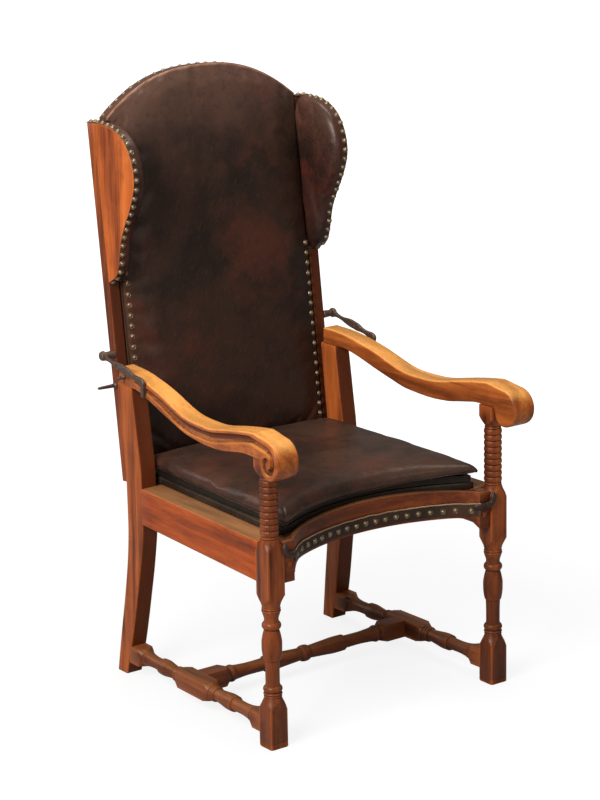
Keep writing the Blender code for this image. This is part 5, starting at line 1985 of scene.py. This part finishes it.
@dataclass
class Wing:
    """Wing of the back: a board, and stuffed leather on it that wraps the board's front edge."""

    side: Side
    back: Back
    outline: Table = (
        (0.0125, 0.738), (-0.02, 0.7345), (-0.053, 0.7275), (-0.081, 0.7135), (-0.102, 0.693),
        (-0.115, 0.667), (-0.1205, 0.64), (-0.119, 0.615), (-0.109, 0.589), (-0.09, 0.558),
        (-0.068, 0.528), (-0.05, 0.498), (-0.039, 0.466), (-0.029, 0.44), (-0.017, 0.424),
        (0.0125, 0.41))
    x: Pair = (0.25, 0.268)
    arris: float = 0.0015
    centre: Pair = (-0.045, 0.6)            # point towards which the arrises are drawn in
    rear: float = 0.0105                    # rear edge of the leather
    margin: float = 0.004                   # leather short of the board's ends behind
    full: float = 0.019                     # height of the stuffing
    roll: float = 0.04                      # width of the stuffing's roll at the front edge
    turn: float = 0.78                      # share of the leather on the inner face
    band: float = 0.0018                    # thickness of the leather on the edge
    nail_pitch: float = 0.0195
    nail_inset: float = 0.0058
    cap_y: Pair = (0.0105, 0.0295)          # nails of the cap

    @cached_property
    def line(self) -> list[Pair]:
        """Outline of the board from its rear top to its foot."""
        return spline(self.outline, 6)

    @property
    def nail_x(self) -> float:
        """Place of the nails across the edge."""
        return self.side.value * (self.x[1] - self.nail_inset)

    def board(self) -> None:
        """Sawn board."""
        inner, outer = self.x
        arris, centre = self.arris, Vector(self.centre)
        rings = []
        for x, draw in ((inner, 2 * arris), (inner, arris), (inner + arris, 0.0), (outer - arris, 0.0),
                        (outer, arris), (outer, 3 * arris)):
            points = [Vector(point) for point in self.line]
            drawn = [point + (centre - point).normalized() * draw for point in points]
            rings.append(Axis.X.at(self.side.value * x, [(point.x, point.y) for point in drawn]))
        Workpiece(self.side.named("wing_board"), Body.BACK).sweep(rings).done(OAK_WING, "oak")

    def spot(self, u: float, v: float, lift: float) -> Spot:
        """Lay the leather.

        Args:
            u: Place from the rear, -1, over the front edge to the outer face, 1.
            v: Place along the edge, from -1 to 1.
            lift: 1 for its face and 0 for the side against the board.

        Returns:
            Point of the leather.
        """
        share, along = 0.5 * (u + 1.0), 0.5 * (v + 1.0)
        count = len(self.line) - 1
        k = min(count - 1, int(along * count))
        (y0, z0), (y1, z1) = self.line[k], self.line[k + 1]
        edge = Vector((lerp(y0, y1, along * count - k), lerp(z0, z1, along * count - k)))
        spine = lerp(self.line[0][1] - self.margin, self.line[-1][1] + self.margin, along)
        inward = Vector((self.rear, spine)) - edge
        room = inward.length
        depth = (1.0 - sine(min(1.0, share / self.turn))) * (room + lift * self.band)
        out = Vector((z1 - z0, y0 - y1)).normalized() * lift * self.band
        place = edge + out + inward.normalized() * depth
        inner, outer = self.x[0] - TOUCH, self.x[1] + 0.0004
        if share > self.turn:
            return (self.side.value * lerp(inner, outer, (share - self.turn) / (1.0 - self.turn)), *place)
        rim, rear = min(1.0, depth / self.roll), min(1.0, (room - depth) / 0.01 + 0.35)
        rise = self.full * min(1.0, room / 0.07) ** 0.5 * math.sqrt(1.0 - (1.0 - rim) ** 2)
        rise *= math.sqrt(max(0.0, 1.0 - (1.0 - rear) ** 2))
        return (self.side.value * (inner - lift * rise), *place)

    def pad(self) -> None:
        """Stuffed leather, held at its edge and rear, with nails along the edge of the wing."""
        inner = self.x[0] - TOUCH
        skin = Workpiece(self.side.named("wing_pad"), Body.BACK).pad(
            44, 90, lambda u, v: self.spot(u, v, 1.0), lambda u, v: self.spot(u, v, 0.0)).raw()
        swollen(skin, lambda p: 1.0 if abs(Body.BACK.local(p).x) > inner - 0.003 else 0.0,
                pressure=3.0, slack=0.004, cap=0.005)
        rumpled(skin, lambda p: 1.0 if abs(Body.BACK.local(p).x) < inner - 0.006 else 0.0,
                depth=0.0007, pitch=0.06)
        hand_in(smoothed(skin), WING_HIDE, Body.BACK)
        NailRow(self.side.named("wing_nails"), Body.BACK).drive(
            skin, [((self.nail_x, y + 0.03 * dz, z - 0.03 * dy), (0.0, -dz, dy))
                   for (y, z), (dy, dz) in spaced(self.line, self.nail_pitch, 0.008)])

    def gusset(self) -> None:
        """Leather over the front of the stile between the panel and the wing."""
        front = self.back.stile_y[0]
        section = self.side.section((self.back.panel_half + 0.0004, self.x[0] - TOUCH),
                                    (front - 0.0022, front - 0.0001), 0.0006, 2, 0.0004)
        rings = [Axis.Z.at(z, section) for z in evenly(self.outline[-1][1], self.back.stile_z[1], 30)]
        Workpiece(self.side.named("wing_gusset"), Body.BACK).sweep(rings).done(WING_HIDE, "hide")

    def cap(self) -> None:
        """Leather nailed over the top of the stile, between the crest and the wing."""
        inner, outer = self.back.stile_x[0] - 0.0055, self.back.stile_x[1] + 0.0004
        base, slope = self.back.stile_z[1] + TOUCH, 0.004 / self.back.stile_x[1]
        section = [(x, z + slope * max(0.0, outer - abs(x))) for x, z in self.side.section(
            (inner, outer), (base, base + 0.0024), 0.0009, 2, 0.0004)]
        rings = [Axis.Y.at(y, section) for y in evenly(0.0, self.back.stile_y[1] + 0.0003, 12)]
        item = Workpiece(self.side.named("stile_cap"), Body.BACK).sweep(rings).done(WING_HIDE, "hide")
        NailRow(self.side.named("cap_nails"), Body.BACK).drive(
            item, [((self.nail_x, y, 0.8), (0.0, 0.0, -1.0)) for y in self.cap_y])

    def build(self) -> None:
        """Make every piece."""
        self.board()
        self.pad()
        self.gusset()
        self.cap()


@dataclass
class Ironwork:
    """Hook bars, their bolts, the pegs on the stiles and the catches on the arms."""

    stile: float = 0.2683
    bolt: Pair = (0.019, 0.262)
    bar_x: Pair = (0.2915, 0.2985)
    bar_edge: float = 0.0016
    reach: float = 0.1487
    drop: Pair = (0.146, 0.028)
    upper: Table = (
        (0.006, 0.0085), (0.014, 0.0045), (0.026, 0.0032), (0.036, 0.0036), (0.05, 0.0066), (0.07, 0.0096),
        (0.09, 0.0092), (0.108, 0.0054), (0.118, 0.0044), (0.128, 0.0056), (0.14, 0.0074), (0.149, 0.0066),
        (0.1545, 0.002))
    lower: Table = (
        (0.006, -0.0085), (0.014, -0.0045), (0.026, -0.0032), (0.036, -0.0036), (0.05, -0.0058),
        (0.07, -0.0076), (0.09, -0.0073), (0.108, -0.0048), (0.118, -0.0042), (0.128, -0.0054),
        (0.14, -0.0066), (0.149, -0.006), (0.1545, -0.002))
    eye: float = 0.0105
    hole: float = 0.0049
    prong: float = 0.03
    prong_top: Pair = (-0.007, 0.005)       # its two edges from the reach, at the bar and at its tip
    prong_tip: Pair = (-0.006, 0.0033)
    peg: Pair = (0.025, 0.196)
    peg_length: float = 0.044
    voxel: float = 0.0009

    @staticmethod
    def sideways(side: Side, at: Vector) -> Matrix:
        """Matrix that lays a turning sideways, with its places measured from the middle plane."""
        return Matrix.Translation((0.0, at.y, at.z)) @ Matrix.Rotation(side.value * math.pi / 2, 4, "Y")

    def rod(self, name: str, body: Body, line: TurnedLine, side: Side, at: Vector) -> None:
        """Turned iron standing out sideways.

        Args:
            name: Name of the piece without its side.
            body: Body that it rides on.
            line: Side line, from the middle plane outwards.
            side: Side of the chair.
            at: Point of its axis in the scene.
        """
        Workpiece(side.named(name), body).turn(line, 32).lay(self.sideways(side, at)).done(IRON, "iron")

    def bolts(self, side: Side) -> None:
        """Bolt, peg and catch of one side.

        Args:
            side: Side of the chair.
        """
        inner, outer = self.bar_x[0], self.bar_x[1] + TOUCH
        line = TurnedLine(self.stile, 0.0078).to(self.stile + 0.0008, 0.0084)
        line.curve((0.28, 0.0076), (inner - 0.0014, 0.007), (inner - TOUCH, 0.0066), pitch=0.001)
        line.to(inner, 0.0045).to(outer, 0.0045).to(outer, 0.0086)
        line.curve((outer + 0.001, 0.0092), (outer + 0.0026, 0.0074), (outer + 0.004, 0.003), pitch=0.0005)
        self.rod("bar_bolt", Body.BACK, line, side, BACK @ Vector((0.0, *self.bolt)))
        end = self.stile + self.peg_length
        line = TurnedLine(self.stile, 0.0066).to(self.stile + 0.001, 0.0072)
        line.curve((self.stile + 0.003, 0.0068), (self.stile + 0.0052, 0.0044), (end - 0.006, 0.0031),
                   (end - 0.0012, 0.0026), (end, 0.0012), pitch=0.0012)
        self.rod("stile_peg", Body.BACK, line, side, BACK @ Vector((0.0, *self.peg)))
        low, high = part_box(side.named("catch_pin"))
        start, stop = sorted((abs(low.x), abs(high.x)))
        line = TurnedLine(start, 0.004).to(stop - 0.0014, 0.004)
        line.curve((stop - 0.0005, 0.0033), (stop, 0.0016), pitch=0.0003)
        self.rod("catch_pin", Body.FRAME, line, side, 0.5 * (low + high))

    def plate(self, piece: Workpiece, side: Side, points: Sequence[Pair]) -> Workpiece:
        """Forge a plate with worn edges.

        Args:
            piece: Workpiece to make it in.
            side: Side of the chair.
            points: Outline along and above the bar, from its bolt.

        Returns:
            The workpiece.
        """
        pivot = BACK @ Vector((0.0, *self.bolt))
        slope = math.atan2(-self.drop[1], -self.drop[0])
        way = Vector((0.0, math.cos(slope), math.sin(slope)))
        up = Vector((0.0, math.sin(slope), -math.cos(slope)))
        middle = sum((Vector(point) for point in points), Vector((0.0, 0.0))) / len(points)
        (inner, outer), edge = self.bar_x, self.bar_edge
        rings = []
        for x, draw in ((inner, edge), (inner + edge, 0.0), (outer - edge, 0.0), (outer, edge)):
            ring = []
            for a, b in points:
                pull = (middle - Vector((a, b))).normalized() * min(draw, 0.4 * abs(b - middle.y))
                spot = pivot + way * (a + pull.x) + up * (b + pull.y)
                ring.append((side.value * x, spot.y, spot.z))
            rings.append(ring)
        return piece.sweep(rings)

    def bar(self, side: Side) -> None:
        """Forged hook bar with its eye and prong.

        Args:
            side: Side of the chair.
        """
        body = Body(side.named("hook_bar"))
        places = evenly(self.upper[0][0], self.upper[-1][0], 40)
        outline = [(a, eased(self.upper, a)) for a in places]
        outline += [(a, eased(self.lower, a)) for a in reversed(places)]
        eye = [(self.eye * c, self.eye * s) for c, s in circle(28)]
        tilt = self.prong * self.drop[1] / self.drop[0]
        prong = [(self.reach + a, 0.0) for a in self.prong_top]
        prong += [(self.reach + a + tilt, -self.prong) for a in reversed(self.prong_tip)]
        item = self.plate(Workpiece(body.value, body), side, outline)
        for points in (eye, prong):
            item.join(self.plate(Workpiece("plate", body), side, points))
        blank = settled(reskinned(item.raw(), self.voxel))
        line = TurnedLine(self.bar_x[0] - 0.01, self.hole).to(self.bar_x[1] + 0.01, self.hole)
        hole = Workpiece("eye_hole").turn(line, 32).lay(self.sideways(side, BACK @ Vector((0.0, *self.bolt))))
        hand_in(carved(blank, hole.raw(), self.voxel, rub=2), IRON, body)

    def build(self) -> None:
        """Make every piece."""
        for side in Side:
            self.bolts(side)
            self.bar(side)


@dataclass(frozen=True)
class KeptSolid:
    """Nodes whose solids show as they are, with eased edges and a finish."""

    names: tuple[str, ...]
    finish: Finish
    edge: float

    def dress(self) -> None:
        """Ease the edges and set the finish."""
        for name in self.names:
            item = frame["nodes"][name]
            item.data.materials.clear()
            item.data.materials.append(self.finish.material())
            weld = item.modifiers.new("weld", "WELD")
            weld.merge_threshold = 0.00001
            ease = item.modifiers.new("ease", "BEVEL")
            ease.width = self.edge
            ease.segments = 2
            ease.limit_method = "ANGLE"
            ease.angle_limit = math.radians(40.0)
            LOG.info("%s: solid kept", name)


KEPT = (
    KeptSolid(("seat_rail_rear",), OAK_FRONT, 0.0015),
    KeptSolid(("inner_stile_right", "inner_stile_left", "back_bottom_rail", "back_middle_rail", "crest_rail"),
              DARK_WOOD, 0.001),
    KeptSolid(("hinge_frame_leaf_right", "hinge_frame_leaf_left", "hinge_back_leaf_right",
               "hinge_back_leaf_left", "hinge_pin_right", "hinge_pin_left"), IRON, 0.0003),
)


@dataclass(frozen=True)
class Lamp:
    """Square soft lamp aimed at the middle of the chair."""

    name: str
    place: Spot
    size: float
    power: float
    aim: Spot = (0.0, 0.0, 0.6)

    def build(self) -> None:
        """Hang the lamp."""
        data = bpy.data.lights.new(self.name, "AREA")
        data.size = self.size
        data.energy = self.power
        item = bpy.data.objects.new(self.name, data)
        turn = (Vector(self.aim) - Vector(self.place)).to_track_quat("-Z", "Y").to_matrix().to_4x4()
        item.matrix_world = Matrix.Translation(self.place) @ turn
        bpy.context.scene.collection.objects.link(item)


@dataclass
class Studio:
    """Pale floor, soft lamps and the camera of the photograph."""

    eye: Spot = (-3.1844, -4.0843, 2.0604)  # from the front leg axis
    yaw: float = 36.137                     # degrees from +Y towards +X
    pitch: float = 15.166                   # degrees down
    roll: float = -1.098
    focal_pixels: float = 2737.25
    image_height: int = 800
    floor_size: float = 30.0
    floor_tone: float = 0.4
    ambient: float = 0.17
    lamps: tuple[Lamp, ...] = (
        Lamp("key", (-3.4, -1.3, 2.9), 2.0, 230.0), Lamp("fill", (0.6, -4.4, 2.2), 1.8, 22.0),
        Lamp("top", (0.3, 0.2, 3.6), 1.6, 70.0), Lamp("rear", (-2.2, 3.4, 2.0), 2.0, 30.0))

    def camera(self) -> None:
        """Camera at the photograph's place."""
        data = bpy.data.cameras.new("photo_view")
        data.sensor_width = 36.0
        data.lens = self.focal_pixels / self.image_height * data.sensor_width
        item = bpy.data.objects.new("photo_view", data)
        item.matrix_world = Matrix.Translation(CHAIR @ Vector(self.eye))
        for axis, degrees in (("Z", -self.yaw), ("X", 90.0 - self.pitch), ("Z", self.roll)):
            item.matrix_world = item.matrix_world @ Matrix.Rotation(math.radians(degrees), 4, axis)
        bpy.context.scene.collection.objects.link(item)
        bpy.context.scene.camera = item

    def floor(self) -> None:
        """White floor that keeps a soft shadow."""
        sheet = bmesh.new()
        bmesh.ops.create_grid(sheet, x_segments=1, y_segments=1, size=0.5 * self.floor_size)
        mesh = bpy.data.meshes.new("floor")
        sheet.to_mesh(mesh)
        sheet.free()
        item = bpy.data.objects.new("floor", mesh)
        recipe = Recipe("floor_white")
        recipe.finish(Base_Color=(self.floor_tone,) * 3, Roughness=0.9)
        seen = recipe.node("ShaderNodeLightPath", {}, {}, "Is Camera Ray")
        spot = recipe.node("ShaderNodeTexCoord", {}, {}, "Object")
        reach = recipe.node("ShaderNodeVectorMath", {"operation": "LENGTH"}, {0: spot}, "Value")
        white = recipe.node("ShaderNodeEmission", {}, {"Color": (1.0, 1.0, 1.0), "Strength": 1.25})
        lit = Value(recipe, recipe.shader.outputs[0])
        share = seen * (0.68 + 0.32 * recipe.between(reach, 0.6, 2.4))
        both = recipe.node("ShaderNodeMixShader", {}, {0: share, 1: lit, 2: white})
        recipe.feed(recipe.tree.nodes["Material Output"].inputs["Surface"], both)
        mesh.materials.append(recipe.material)
        bpy.context.scene.collection.objects.link(item)

    def world(self) -> None:
        """Even surroundings, white to the camera."""
        world = bpy.data.worlds.new("studio")
        world.use_nodes = True
        tree = world.node_tree
        back = tree.nodes["Background"]
        path = tree.nodes.new("ShaderNodeLightPath")
        level = tree.nodes.new("ShaderNodeMapRange")
        level.inputs["To Min"].default_value = self.ambient
        level.inputs["To Max"].default_value = 1.0
        tree.links.new(path.outputs["Is Camera Ray"], level.inputs["Value"])
        tree.links.new(level.outputs["Result"], back.inputs["Strength"])
        back.inputs["Color"].default_value = (1.0, 1.0, 1.0, 1.0)
        bpy.context.scene.world = world

    def build(self) -> None:
        """Set the studio up."""
        self.camera()
        self.floor()
        self.world()
        for lamp in self.lamps:
            lamp.build()
        bpy.context.scene.view_settings.view_transform = "Standard"


def main() -> None:
    """Dress the chair and set up the studio."""
    logging.basicConfig(level=logging.INFO, format="%(name)s: %(message)s")
    for assembly in (Studio(), Underframe(), Seat(), Cushion(), Arms(), Back(), Ironwork()):
        assembly.build()
    for kept in KEPT:
        kept.dress()


if __name__ == "__main__":
    main()
